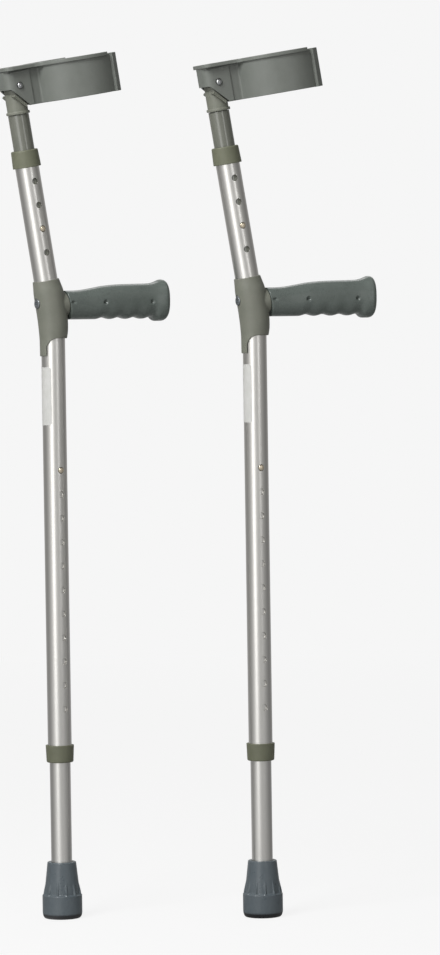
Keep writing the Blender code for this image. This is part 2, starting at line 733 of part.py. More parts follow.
def build_stem_head():
    bead_low = -BEAD_BELOW_RIVET
    bead_high = bead_low + BEAD_HEIGHT
    plug = INNER_BORE - TOUCH_GAP
    profile = (
        (0.0, INNER_RADIUS),
        (INNER_RADIUS, INNER_RADIUS),
        (INNER_RADIUS, bead_high),
        (BEAD_RADIUS - BEAD_EDGE, bead_high),
        (BEAD_RADIUS, bead_high - BEAD_EDGE),
        (BEAD_RADIUS, bead_low + BEAD_EDGE),
        (BEAD_RADIUS - BEAD_EDGE, bead_low),
        (plug, bead_low),
        (plug, bead_low - PLUG_LENGTH + BEAD_EDGE),
        (plug - BEAD_EDGE, bead_low - PLUG_LENGTH),
        (0.0, bead_low - PLUG_LENGTH),
    )
    head = turned(profile, False)
    # the flat at the back leaves room for the cuff's rear wall as it tilts down
    back = HEAD_FLAT_DEPTH - INNER_RADIUS
    keep = arc((0.0, 0.0), INNER_RADIUS, 0.0, math.acos(back / INNER_RADIUS), 10)
    keep += [(back, HEAD_FLAT_LOW), (-FAR, HEAD_FLAT_LOW), (-FAR, -2 * FAR), (FAR, -2 * FAR),
             (FAR, -INNER_RADIUS)]
    combine(head, side_prism(keep, FAR), "INTERSECT")
    down, out = edge_frame()
    edge_distance = CHEEK_EDGE_START[0] * out[0] + CHEEK_EDGE_START[1] * out[1]
    near = edge_distance + SHOULDER_GAP
    outline = []
    for depth, reach in ((near, SHOULDER_REACH[0]), (near, SHOULDER_REACH[1]),
                         (near + SHOULDER_THICKNESS, SHOULDER_REACH[1]),
                         (near + SHOULDER_THICKNESS, SHOULDER_REACH[0])):
        outline.append((out[0] * depth + down[0] * reach, out[1] * depth + down[1] * reach))
    join(head, side_prism(outline, SHOULDER_HALF_WIDTH))
    return cut(head, along_y(rod(RIVET_HOLE, -FAR, FAR, SMALL_STEPS)))


def cuff_outline(radius, half_width, rear, arm_end, lip):
    """The plan of the cuff: an open ring that runs into a block with round corners at the back."""
    centre = (CUFF_CENTRE, 0.0)
    fillet_y = half_width + CHEEK_FILLET
    fillet_x = CUFF_CENTRE - math.sqrt((radius + CHEEK_FILLET) ** 2 - fillet_y ** 2)
    meet = math.atan2(fillet_y, fillet_x - CUFF_CENTRE)
    side = []
    if lip:
        side += arc(centre, radius + CUFF_LIP_PROUD, arm_end, arm_end + CUFF_LIP_ANGLE, 3)
        arm_end += CUFF_LIP_ANGLE
    side += arc(centre, radius, arm_end, meet, CUFF_ARC_STEPS // 2)
    side += arc((fillet_x, fillet_y), CHEEK_FILLET, meet - math.pi, -math.pi / 2, 3)[1:]
    corner = (rear + CHEEK_CORNER, half_width - CHEEK_CORNER)
    side += arc(corner, CHEEK_CORNER, math.pi / 2, math.pi, 4)
    return side + [(x, -y) for x, y in reversed(side)]


def build_cuff():
    inner = CUFF_RADIUS - CUFF_WALL
    hollow = arc((CUFF_CENTRE, 0.0), inner, -math.pi, math.pi, 2 * CUFF_ARC_STEPS)[:-1]
    body = prism(cuff_outline(CUFF_RADIUS, CHEEK_OUTER, CHEEK_REAR, CUFF_ARM_END, True),
                 CUFF_BOTTOM, CUFF_TOP)
    rim_outline = cuff_outline(CUFF_RADIUS + CUFF_RIM_PROUD, RIM_HALF_WIDTH, RIM_REAR, CUFF_RIM_END, False)
    join(body, prism(rim_outline, CUFF_TOP - CUFF_RIM_HEIGHT, CUFF_TOP))
    cut(body, prism(hollow, CUFF_BOTTOM - FAR, CUFF_TOP + FAR))
    reach = CUFF_RADIUS + CUFF_LIP_PROUD + FAR
    wedge = [
        (CUFF_CENTRE, 0.0),
        (CUFF_CENTRE + reach, -reach * math.tan(CUFF_ARM_END)),
        (CUFF_CENTRE + reach, reach * math.tan(CUFF_ARM_END)),
    ]
    cut(body, prism(wedge, CUFF_BOTTOM - FAR, CUFF_TOP + FAR))
    pocket_corner = CHEEK_CORNER - CHEEK_WALL
    pocket_rear = CHEEK_REAR + CHEEK_WALL
    side = [(CUFF_CENTRE - CUFF_RADIUS - TOUCH_GAP, CHEEK_INNER)]
    side += arc((pocket_rear + pocket_corner, CHEEK_INNER - pocket_corner), pocket_corner,
                math.pi / 2, math.pi, 4)
    pocket = side + [(x, -y) for x, y in reversed(side)]
    cut(body, prism(pocket, CUFF_BOTTOM - FAR, CUFF_TOP - CUFF_RIM_HEIGHT))
    down, _ = edge_frame()
    start = CHEEK_EDGE_START
    below = [
        (CHEEK_REAR - FAR, start[1]),
        start,
        (start[0] + down[0] * FAR, start[1] + down[1] * FAR),
        (CHEEK_REAR - FAR, start[1] + down[1] * FAR),
    ]
    cut(body, side_prism(below, CHEEK_OUTER + TOUCH_GAP))
    return cut(body, along_y(rod(RIVET_HOLE, -FAR, FAR, SMALL_STEPS)))


def build_cuff_rivet():
    face = CHEEK_OUTER + TOUCH_GAP
    side = []
    for i in range(4):
        turn = math.radians(30 * i)
        side.append((RIVET_HEAD_RADIUS * math.sin(turn), face + RIVET_HEAD_HEIGHT * math.cos(turn)))
    side += [(RIVET_HEAD_RADIUS, face), (RIVET_RADIUS, face)]
    profile = side + [(radius, -height) for radius, height in reversed(side)]
    return along_y(turned(profile, False, SMALL_STEPS))


# Assembly


PIECES = (
    ("main_tube", build_main_tube, "frame", "aluminium"),
    ("handle_moulding", build_handle_moulding, "frame", "plastic"),
    ("handle_grip", build_handle_grip, "frame", "grip"),
    ("handle_bolt", build_handle_bolt, "frame", "steel"),
    ("handle_nut", build_handle_nut, "frame", "steel"),
    ("label", build_label, "frame", "label"),
    ("leg_collar", build_collar, "lower_end", "collar"),
    ("stem_collar", build_collar, "upper_end", "collar"),
    ("leg_tube", build_leg_tube, "leg", "aluminium"),
    ("ferrule", build_ferrule, "leg", "rubber"),
    ("ferrule_washer", build_ferrule_washer, "leg", "steel"),
    ("leg_clip", build_clip, "leg_button", "brass"),
    ("stem_tube", build_stem_tube, "stem", "stem"),
    ("stem_clip", build_clip, "stem_button", "brass"),
    ("stem_head", build_stem_head, "cuff_hinge", "plastic"),
    ("cuff_rivet", build_cuff_rivet, "cuff_hinge", "steel"),
    ("cuff", build_cuff, "cuff_hinge", "plastic"),
)


def add_empty(name, parent, matrix, collection):
    empty = bpy.data.objects.new(name, None)
    collection.objects.link(empty)
    empty.parent = parent
    empty.matrix_local = matrix
    return empty


def place_frames(side, collection):
    """The empties of one crutch: its base, and the axis of each thing that moves on it."""
    stance = STANCES[side]
    base = Matrix.Translation((*stance["base"], 0.0)) @ Matrix.Rotation(math.radians(stance["turn"]), 4, "Z")
    frame = add_empty(side + "_crutch", None, base, collection)
    flip = Matrix.Rotation(math.pi, 4, "Y")
    places = {
        "lower_end": Matrix.Translation((0.0, 0.0, MAIN_BOTTOM)),
        "upper_end": upper_matrix(UPPER_LENGTH) @ flip,
        "leg": Matrix.Identity(4),
        "leg_button": Matrix.Translation((0.0, 0.0, LEG_BUTTON_HEIGHT)),
        "stem": upper_matrix(),
        "stem_button": upper_matrix(STEM_BUTTON_REACH) @ flip,
        "cuff_hinge": upper_matrix(RIVET_REACH),
    }
    frames = {"frame": frame}
    for name, matrix in places.items():
        frames[name] = add_empty(side + "_" + name + "_axis", frame, matrix, collection)
    return frames


def main():
    clear_scene()
    materials = make_materials()
    collection = bpy.data.collections.new("crutches")
    bpy.context.scene.collection.children.link(collection)
    frames = {side: place_frames(side, collection) for side in STANCES}
    for name, build, frame_name, material in PIECES:
        piece = build()
        mesh = piece.data
        bpy.data.objects.remove(piece)
        mesh.name = name
        mesh.materials.clear()
        mesh.materials.append(materials[material])
        mesh.shade_smooth()
        mesh.set_sharp_from_angle(angle=math.radians(32))
        for side in STANCES:
            obj = bpy.data.objects.new(side + "_" + name, mesh)
            collection.objects.link(obj)
            obj.parent = frames[side][frame_name]


main()
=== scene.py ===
from math import acos, atan2, copysign, cos, degrees, hypot, pi, radians, sin, sqrt, tan

import bmesh
import bpy
from mathutils import Matrix, Vector


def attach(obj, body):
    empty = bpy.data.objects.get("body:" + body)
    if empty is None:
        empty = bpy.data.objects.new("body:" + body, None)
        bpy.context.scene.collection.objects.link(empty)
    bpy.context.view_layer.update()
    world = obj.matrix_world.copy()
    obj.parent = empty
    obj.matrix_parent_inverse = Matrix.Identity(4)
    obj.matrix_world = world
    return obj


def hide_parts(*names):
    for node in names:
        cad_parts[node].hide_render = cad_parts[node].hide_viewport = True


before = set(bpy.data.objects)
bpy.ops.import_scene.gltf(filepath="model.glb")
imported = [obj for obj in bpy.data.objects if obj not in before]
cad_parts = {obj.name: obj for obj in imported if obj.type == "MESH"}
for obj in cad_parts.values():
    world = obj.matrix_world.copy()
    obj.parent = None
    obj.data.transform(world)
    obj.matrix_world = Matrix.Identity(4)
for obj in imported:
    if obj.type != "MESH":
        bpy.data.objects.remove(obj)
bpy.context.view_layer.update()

# A pair of forearm crutches. Pieces are drawn in millimetres, in the frame of one crutch:
# the lower tube stands on z = 0 around x = y = 0, and the handle points along +x.
# The upper frame starts at the bend and leans back with the upper tube.
mm = 0.001
weldGap = 1e-4
farAway = 60.0  # where a cutter ends that goes right through a piece
roundSteps = 96
smallSteps = 40
bendSteps = 24
stances = {
    "left": {"base": (0.0, 0.0), "turn": 31.0},
    "right": {"base": (214.0, -12.0), "turn": 22.5},
}
crutch = {
    "tubeRadius": 12.7,
    "innerRadius": 11.1,
    "bendHeight": 634.0,
    "bendAngle": 9.6,
    "bendRadius": 200.0,
    "handleHeight": 655.0,
    "rivetReach": 254.0,
    "touchGap": 0.3,
}
bend = radians(crutch["bendAngle"])
bendTangent = crutch["bendRadius"] * tan(bend / 2)
bendStart = crutch["bendHeight"] - bendTangent
bendLength = crutch["bendRadius"] * bend
bendStations = [bendLength * i / bendSteps for i in range(bendSteps + 1)]


def upBy(height):
    return Matrix.Translation((0.0, 0.0, height))


def upperFrame(reach=0.0):
    return upBy(crutch["bendHeight"]) @ Matrix.Rotation(-bend, 4, "Y") @ upBy(reach)


atHandle = upBy(crutch["handleHeight"])
atRivet = upperFrame(crutch["rivetReach"])


# centre and forward direction of the bent axis, at a distance from where the bend starts
def axisAt(station):
    radius = crutch["bendRadius"]
    turn = min(max(station / radius, 0.0), bend)
    past = min(station, 0.0) + max(station - bendLength, 0.0)
    back = radius * (1 - cos(turn)) + past * sin(turn)
    up = bendStart + radius * sin(turn) + past * cos(turn)
    return Vector((-back, 0.0, up)), Vector((cos(turn), 0.0, sin(turn)))


# a ring of points square to the bent axis, its middle moved forward by shift
def ringAt(station, radius, sides=roundSteps, shift=0.0):
    centre, forward = axisAt(station)
    ring = []
    for i in range(sides):
        a = 2 * pi * i / sides
        ring.append(centre + forward * (shift + radius * cos(a)) + Vector((0.0, radius * sin(a), 0.0)))
    return ring


# mesh tools
def addObject(name, data):
    obj = bpy.data.objects.new(name, data)
    bpy.context.scene.collection.objects.link(obj)
    return obj


def makeObject(name, verts, faces):
    mesh = bpy.data.meshes.new(name)
    mesh.from_pydata([tuple(v) for v in verts], [], faces)
    work = bmesh.new()
    work.from_mesh(mesh)
    bmesh.ops.remove_doubles(work, verts=work.verts, dist=weldGap)
    bmesh.ops.dissolve_degenerate(work, edges=work.edges, dist=weldGap)
    bmesh.ops.recalc_face_normals(work, faces=work.faces)
    work.to_mesh(mesh)
    work.free()
    return addObject(name, mesh)


# leaves the object with the result of its modifiers as its own mesh
def bake(obj):
    graph = bpy.context.evaluated_depsgraph_get()
    mesh = bpy.data.meshes.new_from_object(obj.evaluated_get(graph))
    obj.modifiers.clear()
    obj.data = mesh
    return obj


def combine(base, tool, operation):
    modifier = base.modifiers.new("combine", "BOOLEAN")
    modifier.solver = "EXACT"
    modifier.operation = operation
    modifier.object = tool
    bake(base)
    bpy.data.objects.remove(tool)
    return base


def cut(base, tool):
    return combine(base, tool, "DIFFERENCE")


def join(base, tool):
    return combine(base, tool, "UNION")


# puts separate bodies into one mesh
def gather(objects):
    work = bmesh.new()
    for obj in objects:
        work.from_mesh(obj.data)
    work.to_mesh(objects[0].data)
    work.free()
    for obj in objects[1:]:
        bpy.data.objects.remove(obj)
    return objects[0]


def moved(obj, matrix):
    obj.data.transform(matrix)
    return obj


def alongX(obj):
    return moved(obj, Matrix.Rotation(pi / 2, 4, "Y"))


def alongY(obj):
    return moved(obj, Matrix.Rotation(pi / 2, 4, "X"))


def clamp(x):
    return min(max(x, 0.0), 1.0)


def smooth(x):
    x = clamp(x)
    return x * x * (3 - 2 * x)


# rounds the corners of a path of (x, y) points; radii is one number or one for each point
def rounded(points, radii, closed=True, steps=5):
    count = len(points)
    if not hasattr(radii, "__len__"):
        radii = [radii] * count
    path = []
    for i, here in enumerate(points):
        here = Vector(here)
        back = Vector(points[i - 1]) - here
        on = Vector(points[(i + 1) % count]) - here
        sharp = radii[i] <= 0 or (not closed and i in (0, count - 1))
        half = 0.0 if sharp else back.angle(on) / 2
        # corners that are nearly straight or nearly folded back stay as they are
        if not radians(2) <= half <= radians(89):
            path.append(tuple(here))
            continue
        # a round takes at most just under half of either side
        reach = min(radii[i] / tan(half), 0.49 * back.length, 0.49 * on.length)
        middle = (back.normalized() + on.normalized()).normalized()
        centre = here + middle * (reach * tan(half) / sin(half))
        first = here + back.normalized() * reach - centre
        last = here + on.normalized() * reach - centre
        turn = atan2(first.x * last.y - first.y * last.x, first.dot(last))
        for k in range(steps + 1):
            c = cos(turn * k / steps)
            s = sin(turn * k / steps)
            path.append((centre.x + first.x * c - first.y * s, centre.y + first.x * s + first.y * c))
    return path


def arc(centre, radius, start, end, steps):
    angles = [radians(start + (end - start) * i / steps) for i in range(steps + 1)]
    return [(centre[0] + radius * cos(a), centre[1] + radius * sin(a)) for a in angles]


# points of a quarter oval, from (across, 0) to (0, up)
def quarterOval(across, up, steps):
    angles = [pi / 2 * k / steps for k in range(steps + 1)]
    return [(across * cos(a), up * sin(a)) for a in angles]


# a path followed by its mirror image, backwards
def mirrored(path):
    return path + [(x, -y) for x, y in reversed(path)]


# turns (radius, height) points about z; a closed path makes a ring, and swell may change a point's radius
def lathe(name, profile, steps=roundSteps, closed=False, swell=None):
    verts = []
    rings = []
    for radius, height in profile:
        count = 1 if radius < 1e-6 else steps
        rings.append(range(len(verts), len(verts) + count))
        for i in range(count):
            a = 2 * pi * i / steps
            r = swell(radius, height, a) if swell else radius
            verts.append((r * cos(a), r * sin(a), height))
    pairs = list(zip(rings, rings[1:])) + ([(rings[-1], rings[0])] if closed else [])
    faces = []
    for a, b in pairs:
        for i in range(steps):
            j = (i + 1) % steps
            face = dict.fromkeys((a[i % len(a)], a[j % len(a)], b[j % len(b)], b[i % len(b)]))
            if len(face) > 2:
                faces.append(tuple(face))
    return makeObject(name, verts, faces)


def rod(name, radius, low=-farAway, high=farAway, steps=smallSteps):
    return lathe(name, ((0.0, low), (radius, low), (radius, high), (0.0, high)), steps)


# joins rings of points with the same count; loop joins the last to the first, else both ends are closed
def loft(name, rings, loop=False):
    size = len(rings[0])
    verts = [point for ring in rings for point in ring]
    faces = []
    for k in range(len(rings) if loop else len(rings) - 1):
        a = k * size
        b = (k + 1) % len(rings) * size
        for i in range(size):
            j = (i + 1) % size
            faces.append((a + i, a + j, b + j, b + i))
    if not loop:
        faces.append(tuple(range(size)))
        faces.append(tuple(range(len(verts) - size, len(verts))))
    return makeObject(name, verts, faces)


# draws an outline out along z, with both of its edges rounded
def slab(name, outline, low=-farAway, high=farAway, edge=0.0):
    area = sum(a[0] * b[1] - a[1] * b[0] for a, b in zip(outline, outline[1:] + outline[:1]))
    if area < 0:
        outline = outline[::-1]
    points = [Vector(p) for p in outline]
    sides = [(b - a).normalized().orthogonal() for a, b in zip(points, points[1:] + points[:1])]
    inward = []
    for before, after in zip(sides[-1:] + sides[:-1], sides):
        normal = (before + after).normalized()
        inward.append(normal / max(normal.dot(before), 0.3))  # longer in a tight corner, within reason
    corner = quarterOval(edge, edge, 3) if edge > 0 else [(0.0, 0.0)]
    levels = [(edge - y, low + edge - x) for x, y in corner]
    levels += [(edge - x, high - edge + y) for x, y in corner]
    rings = []
    for inset, height in levels:
        rings.append([(x + n.x * inset, y + n.y * inset, height) for (x, y), n in zip(outline, inward)])
    return loft(name, rings)


# a smooth value at x through (x, y) points
def along(table, x):
    if x <= table[0][0]:
        return table[0][1]
    for i in range(len(table) - 1):
        x0, y0 = table[i]
        x1, y1 = table[i + 1]
        if x <= x1:
            before = table[max(i - 1, 0)]
            after = table[min(i + 2, len(table) - 1)]
            m0 = (y1 - before[1]) / max(x1 - before[0], 1e-9) * (x1 - x0)
            m1 = (after[1] - y0) / max(after[0] - x0, 1e-9) * (x1 - x0)
            t = (x - x0) / (x1 - x0)
            return ((2 * t ** 3 - 3 * t ** 2 + 1) * y0 + (t ** 3 - 2 * t ** 2 + t) * m0
                    + (3 * t ** 2 - 2 * t ** 3) * y1 + (t ** 3 - t ** 2) * m1)
    return table[-1][1]


# smooth shading that keeps flats flat beside small round edges
def polish(obj, sharp=40.0):
    obj.data.shade_smooth()
    obj.data.set_sharp_from_angle(angle=radians(sharp))
    modifier = obj.modifiers.new("normals", "WEIGHTED_NORMAL")
    modifier.keep_sharp = True
    return bake(obj)


# puts a finished piece on both crutches, each riding on its body in place of its solid
def dress(obj, label, body, material, node=None, where=None):
    mesh = obj.data
    if where:
        mesh.transform(where)
    mesh.transform(Matrix.Scale(mm, 4))
    mesh.materials.clear()
    mesh.materials.append(material)
    mesh.name = label
    bpy.data.objects.remove(obj)
    for side, stance in stances.items():
        piece = addObject(side + label, mesh)
        base = Matrix.Translation((stance["base"][0] * mm, stance["base"][1] * mm, 0.0))
        piece.matrix_world = base @ Matrix.Rotation(radians(stance["turn"]), 4, "Z")
        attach(piece, side + "_" + body)
        if node:
            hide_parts(side + "_" + node)


# makes and links the nodes of one tree
class Nodes:
    def __init__(self, tree):
        self.tree = tree

    # links a socket to another, or sets its plain value
    def feed(self, socket, value):
        if isinstance(value, bpy.types.NodeSocket):
            self.tree.links.new(value, socket)
        else:
            socket.default_value = (*value, 1.0) if socket.type == "RGBA" else value

    def make(self, kind, inputs=(), **settings):
        made = self.tree.nodes.new("ShaderNode" + kind)
        for key, value in settings.items():
            setattr(made, key, value)
        for key, value in dict(inputs).items():
            if value is not None:
                self.feed(made.inputs[key], value)
        return made

    def remap(self, source, low, high, toLow=0.0, toHigh=1.0):
        inputs = {"Value": source, "From Min": low, "From Max": high, "To Min": toLow, "To Max": toHigh}
        return self.make("MapRange", inputs).outputs["Result"]

    def math(self, operation, a, b):
        return self.make("Math", {0: a, 1: b}, operation=operation).outputs[0]

    def dot(self, direction, other):
        return self.make("VectorMath", {0: direction, 1: other}, operation="DOT_PRODUCT").outputs["Value"]

    def mix(self, factor, a, b):
        return self.make("Mix", {"Factor": factor, 6: a, 7: b}, data_type="RGBA").outputs[2]

    def mixShader(self, factor, a, b):
        return self.make("MixShader", {0: factor, 1: a, 2: b}).outputs[0]


# one material, with its plain values on the shader under its nodes
class Finish(Nodes):
    def __init__(self, name, look, metallic=0.0):
        self.material = bpy.data.materials.new(name)
        self.material.use_nodes = True
        super().__init__(self.material.node_tree)
        self.shader = self.tree.nodes["Principled BSDF"]
        self.place = self.make("TexCoord").outputs["Object"]
        self.level = look["roughness"]
        self.set("Base Color", look["color"])
        self.set("Roughness", self.level)
        self.set("Metallic", metallic)

    def set(self, key, value):
        self.feed(self.shader.inputs[key], value)

    # noise in object space: features per millimetre, detail, and a stretch for each axis
    def noise(self, scale, detail, stretch=(1, 1, 1)):
        mapping = self.make("Mapping", {"Vector": self.place, "Scale": [s * scale / mm for s in stretch]})
        inputs = {"Vector": mapping.outputs["Vector"], "Scale": 1.0, "Detail": detail, "Roughness": 0.55}
        return self.make("TexNoise", inputs).outputs["Fac"]

    def height(self):
        return self.make("SeparateXYZ", {0: self.place}).outputs["Z"]

    # moves the roughness from less below its level to more above it, as the source goes from low to high
    def wear(self, source, low, high, less, more):
        self.set("Roughness", self.remap(source, low, high, self.level - less, self.level + more))

    # layers of (source, strength, depth in millimetres)
    def bump(self, layers):
        normal = None
        for source, strength, depth in layers:
            inputs = {"Height": source, "Strength": strength, "Distance": depth * mm, "Normal": normal}
            normal = self.make("Bump", inputs).outputs["Normal"]
        self.set("Normal", normal)


def shade(color, factor):
    return tuple(min(c * factor, 1.0) for c in color)


# drawn aluminium: fine streaks along the tube, faint clouding in the anodised coat
aluminium = {
    "color": (0.80, 0.79, 0.76), "roughness": 0.32, "spread": 0.02, "streaks": 0.03, "clouds": 0.04,
    "streakNoise": (1.6, 4.0, (1, 1, 0.012)), "cloudNoise": (0.06, 3.0, (1, 1, 0.5)),
    "grainNoise": (5.0, 2.0, (1, 1, 0.2)),
}


def aluminiumMaterial(name, look):
    made = Finish(name, look, 1.0)
    streaks = made.noise(*look["streakNoise"])
    clouds = made.noise(*look["cloudNoise"])
    grain = made.noise(*look["grainNoise"])
    dull = shade(look["color"], 1 - look["clouds"])
    cloudy = made.mix(made.remap(clouds, 0.35, 0.65), look["color"], dull)
    lined = shade(look["color"], 1 - look["streaks"])
    made.set("Base Color", made.mix(made.remap(streaks, 0.3, 0.7), cloudy, lined))
    made.wear(made.math("ADD", streaks, clouds), 0.6, 1.4, look["spread"], look["spread"])
    made.bump([(streaks, 0.03, 0.01), (grain, 0.03, 0.005)])
    return made.material


# moulded plastic: mottled colour, fine spark texture, a little polish in places
plastics = {
    "moulding": {
        "color": (0.158, 0.165, 0.135), "second": (0.182, 0.187, 0.155), "roughness": 0.44, "grain": 0.10,
    },
    "cuff": {
        "color": (0.140, 0.151, 0.136), "second": (0.154, 0.165, 0.150), "roughness": 0.40, "grain": 0.05,
    },
    "collar": {
        "color": (0.122, 0.128, 0.086), "second": (0.142, 0.148, 0.101), "roughness": 0.50, "grain": 0.10,
    },
    "stem": {
        "color": (0.128, 0.133, 0.110), "second": (0.144, 0.148, 0.124), "roughness": 0.12, "grain": 0.02,
        "gloss": 1.0,
    },
    "grip": {
        "color": (0.099, 0.118, 0.108), "second": (0.112, 0.132, 0.121), "roughness": 0.27, "grain": 0.03,
    },
}
plasticNoise = {"clouds": (0.08, 4.0), "specks": (1.3, 3.0), "spark": (3.2, 2.0)}


def plasticMaterial(name, look):
    made = Finish(name, look)
    clouds = made.noise(*plasticNoise["clouds"])
    specks = made.noise(*plasticNoise["specks"])
    spark = made.noise(*plasticNoise["spark"])
    base = made.mix(made.remap(clouds, 0.3, 0.7), look["color"], look["second"])
    pale = shade(look["second"], 1.25)
    made.set("Base Color", made.mix(made.remap(specks, 0.55, 0.75, 0.0, 0.35), base, pale))
    made.wear(made.math("ADD", clouds, specks), 0.7, 1.3, 0.05, 0.07)
    made.bump([(clouds, 0.04, 0.25), (spark, look["grain"], 0.05)])
    made.set("Specular IOR Level", look.get("gloss", 0.5))
    return made.material


# moulded rubber, a little dusty, with painted shade darkening its lowest few millimetres, where the foot
# rounds under towards the floor
rubber = {
    "color": (0.087, 0.108, 0.122), "dust": (0.138, 0.156, 0.166), "paintedShade": (0.010, 0.011, 0.013),
    "roughness": 0.31, "paintedShadeBelow": (4.0, 5.8), "gloss": 0.6,
    "cloudNoise": (0.10, 5.0), "grainNoise": (2.4, 3.0),
}


def rubberMaterial(name, look):
    made = Finish(name, look)
    clouds = made.noise(*look["cloudNoise"])
    grain = made.noise(*look["grainNoise"])
    dust = made.remap(clouds, 0.35, 0.75, 0.0, 0.22)
    low, high = look["paintedShadeBelow"]
    # painted shade: below the first height the colour goes to near black and fades out by the second,
    # standing in for the shade under the foot's rounding
    underside = made.remap(made.height(), low * mm, high * mm, 1.0, 0.0)
    made.set("Base Color", made.mix(underside, made.mix(dust, look["color"], look["dust"]), look["paintedShade"]))
    made.wear(clouds, 0.3, 0.7, 0.06, 0.10)
    made.bump([(clouds, 0.05, 0.3), (grain, 0.06, 0.05)])
    made.set("Specular IOR Level", look["gloss"])
    return made.material


# plated steel, zinc and brass, with fine turning marks and small tarnish spots
metals = {
    "steel": {"color": (0.46, 0.47, 0.48), "tarnish": (0.33, 0.33, 0.33), "roughness": 0.16},
    "zinc": {"color": (0.36, 0.39, 0.41), "tarnish": (0.26, 0.27, 0.28), "roughness": 0.38},
    "brass": {"color": (0.80, 0.71, 0.56), "tarnish": (0.60, 0.51, 0.38), "roughness": 0.27},
}
metalNoise = {"clouds": (0.5, 4.0), "fine": (6.0, 2.0)}


def metalMaterial(name, look):
    made = Finish(name, look, 1.0)
    clouds = made.noise(*metalNoise["clouds"])
    fine = made.noise(*metalNoise["fine"])
    made.set("Base Color", made.mix(made.remap(clouds, 0.5, 0.8, 0.0, 0.8), look["color"], look["tarnish"]))
    made.wear(clouds, 0.3, 0.7, 0.05, 0.12)
    made.bump([(fine, 0.08, 0.02)])
    return made.material


# blank sticker: white film with a faint paper tooth and a slightly yellowed patch here and there
sticker = {
    "color": (0.575, 0.575, 0.56), "aged": (0.52, 0.525, 0.50), "roughness": 0.42,
    "cloudNoise": (0.12, 4.0), "toothNoise": (4.0, 3.0),
}


def stickerMaterial(name, look):
    made = Finish(name, look)
    clouds = made.noise(*look["cloudNoise"])
    tooth = made.noise(*look["toothNoise"])
    made.set("Base Color", made.mix(made.remap(clouds, 0.4, 0.75), look["color"], look["aged"]))
    made.wear(tooth, 0.3, 0.7, 0.05, 0.08)
    made.bump([(clouds, 0.10, 0.12), (tooth, 0.06, 0.02)])
    return made.material


mainMetal = aluminiumMaterial("satin aluminium", aluminium)
moulding = plasticMaterial("grey olive plastic", plastics["moulding"])
cuffPlastic = plasticMaterial("grey green plastic", plastics["cuff"])
collarPlastic = plasticMaterial("olive plastic", plastics["collar"])
stemCoat = plasticMaterial("grey coated tube", plastics["stem"])
gripVinyl = plasticMaterial("blue green grip", plastics["grip"])
footRubber = rubberMaterial("blue grey rubber", rubber)
steel = metalMaterial("plated steel", metals["steel"])
zinc = metalMaterial("dull zinc", metals["zinc"])
brass = metalMaterial("brass", metals["brass"])
stickerFilm = stickerMaterial("white sticker", sticker)
print("materials made")

# button hole on the -y side of a tube: its cutter starts inside and opens out at the outer face
hole = {"radius": 3.25, "start": 4.0, "rimDepth": 0.5, "over": 0.05, "beyond": 6.0}


def holeCutter(face, flare, where):
    radius = hole["radius"]
    start = hole["start"]
    end = face + hole["beyond"]
    profile = ((0.0, start), (radius, start), (radius, face - hole["rimDepth"]),
               (radius + flare, face + hole["over"]), (radius + flare, end), (0.0, end))
    return moved(alongY(lathe("hole", profile, smallSteps)), where)


# main tube: bent tube with eleven leg holes and four stem holes in its front side
mainTube = {
    "radius": crutch["tubeRadius"], "wall": 1.2, "bottom": 169.4, "upperLength": 183.2,
    "edge": 0.25, "boreEdge": 0.15, "flare": 0.35, "pitch": 25.4, "legHoles": 11, "legButton": 478.0,
    "stemButton": 101.5, "stemBelow": 1, "stemAbove": 2, "boltHole": 3.3, "sides": 128,
}


def buildMainTube(v):
    low = v["bottom"] - bendStart
    high = bendLength + v["upperLength"] - bendTangent
    stations = [low, low + v["edge"]] + bendStations + [high - v["edge"], high]
    plain = len(stations) - 2
    outer = v["radius"]
    inner = outer - v["wall"]
    outerRadii = [outer - v["edge"]] + [outer] * plain + [outer - v["edge"]]
    innerRadii = [inner + v["boreEdge"]] + [inner] * plain + [inner + v["boreEdge"]]
    walls = list(zip(stations, outerRadii)) + list(zip(stations, innerRadii))[::-1]
    tube = loft("tube", [ringAt(station, radius, v["sides"]) for station, radius in walls], True)
    places = [upBy(v["legButton"] - v["pitch"] * i) for i in range(v["legHoles"])]
    for i in range(-v["stemBelow"], v["stemAbove"] + 1):
        places.append(upperFrame(v["stemButton"] + v["pitch"] * i))
    cutters = [holeCutter(outer, v["flare"], place) for place in places]
    cutters.append(moved(alongX(rod("bolt way", v["boltHole"], steps=32)), atHandle))
    return polish(cut(tube, gather(cutters)))


dress(buildMainTube(mainTube), "MainTube", "frame", mainMetal, "main_tube")

# the two sliding tubes, each with its button hole
slidingTubes = {
    "radius": crutch["innerRadius"], "wall": 1.6, "edge": 0.4, "flare": 0.2,
    "leg": {"low": 11.6, "high": 505.0, "button": 478.0},
    "stem": {"low": 69.0, "high": 223.7, "button": 101.5},
}


def buildSlidingTube(v, part):
    outer = v["radius"]
    inner = outer - v["wall"]
    low = v[part]["low"]
    high = v[part]["high"]
    profile = rounded([(inner, low), (outer, low), (outer, high), (inner, high)], v["edge"], True, 3)
    tube = lathe("sliding tube", profile, closed=True)
    return polish(cut(tube, holeCutter(outer, v["flare"], upBy(v[part]["button"]))))


dress(buildSlidingTube(slidingTubes, "leg"), "LegTube", "leg", mainMetal, "leg_tube")
dress(buildSlidingTube(slidingTubes, "stem"), "StemTube", "stem", stemCoat, "stem_tube",
      upperFrame())
print("tubes made")

# snap clip: a bent spring strip, whose front arm carries the domed button and moves in with it
clip = {
    "thickness": 0.8, "width": 6.5, "corner": 0.25, "outer": 8.45, "tip": 5.0, "arm": 22.0, "split": 0.05,
    "armMiddle": -9.0, "buttonRadius": 2.95, "proud": 1.3, "dome": 0.9,
}


# strip along a path of (place across, height, direction of its outer face)
def stripAlong(v, path):
    half = v["thickness"] / 2
    wide = v["width"] / 2
    section = rounded([(-half, -wide), (half, -wide), (half, wide), (-half, wide)], v["corner"], True, 2)
    rings = []
    for y, z, a in path:
        rings.append([(across, y + cos(a) * thick, z + sin(a) * thick) for thick, across in section])
    return loft("strip", rings)


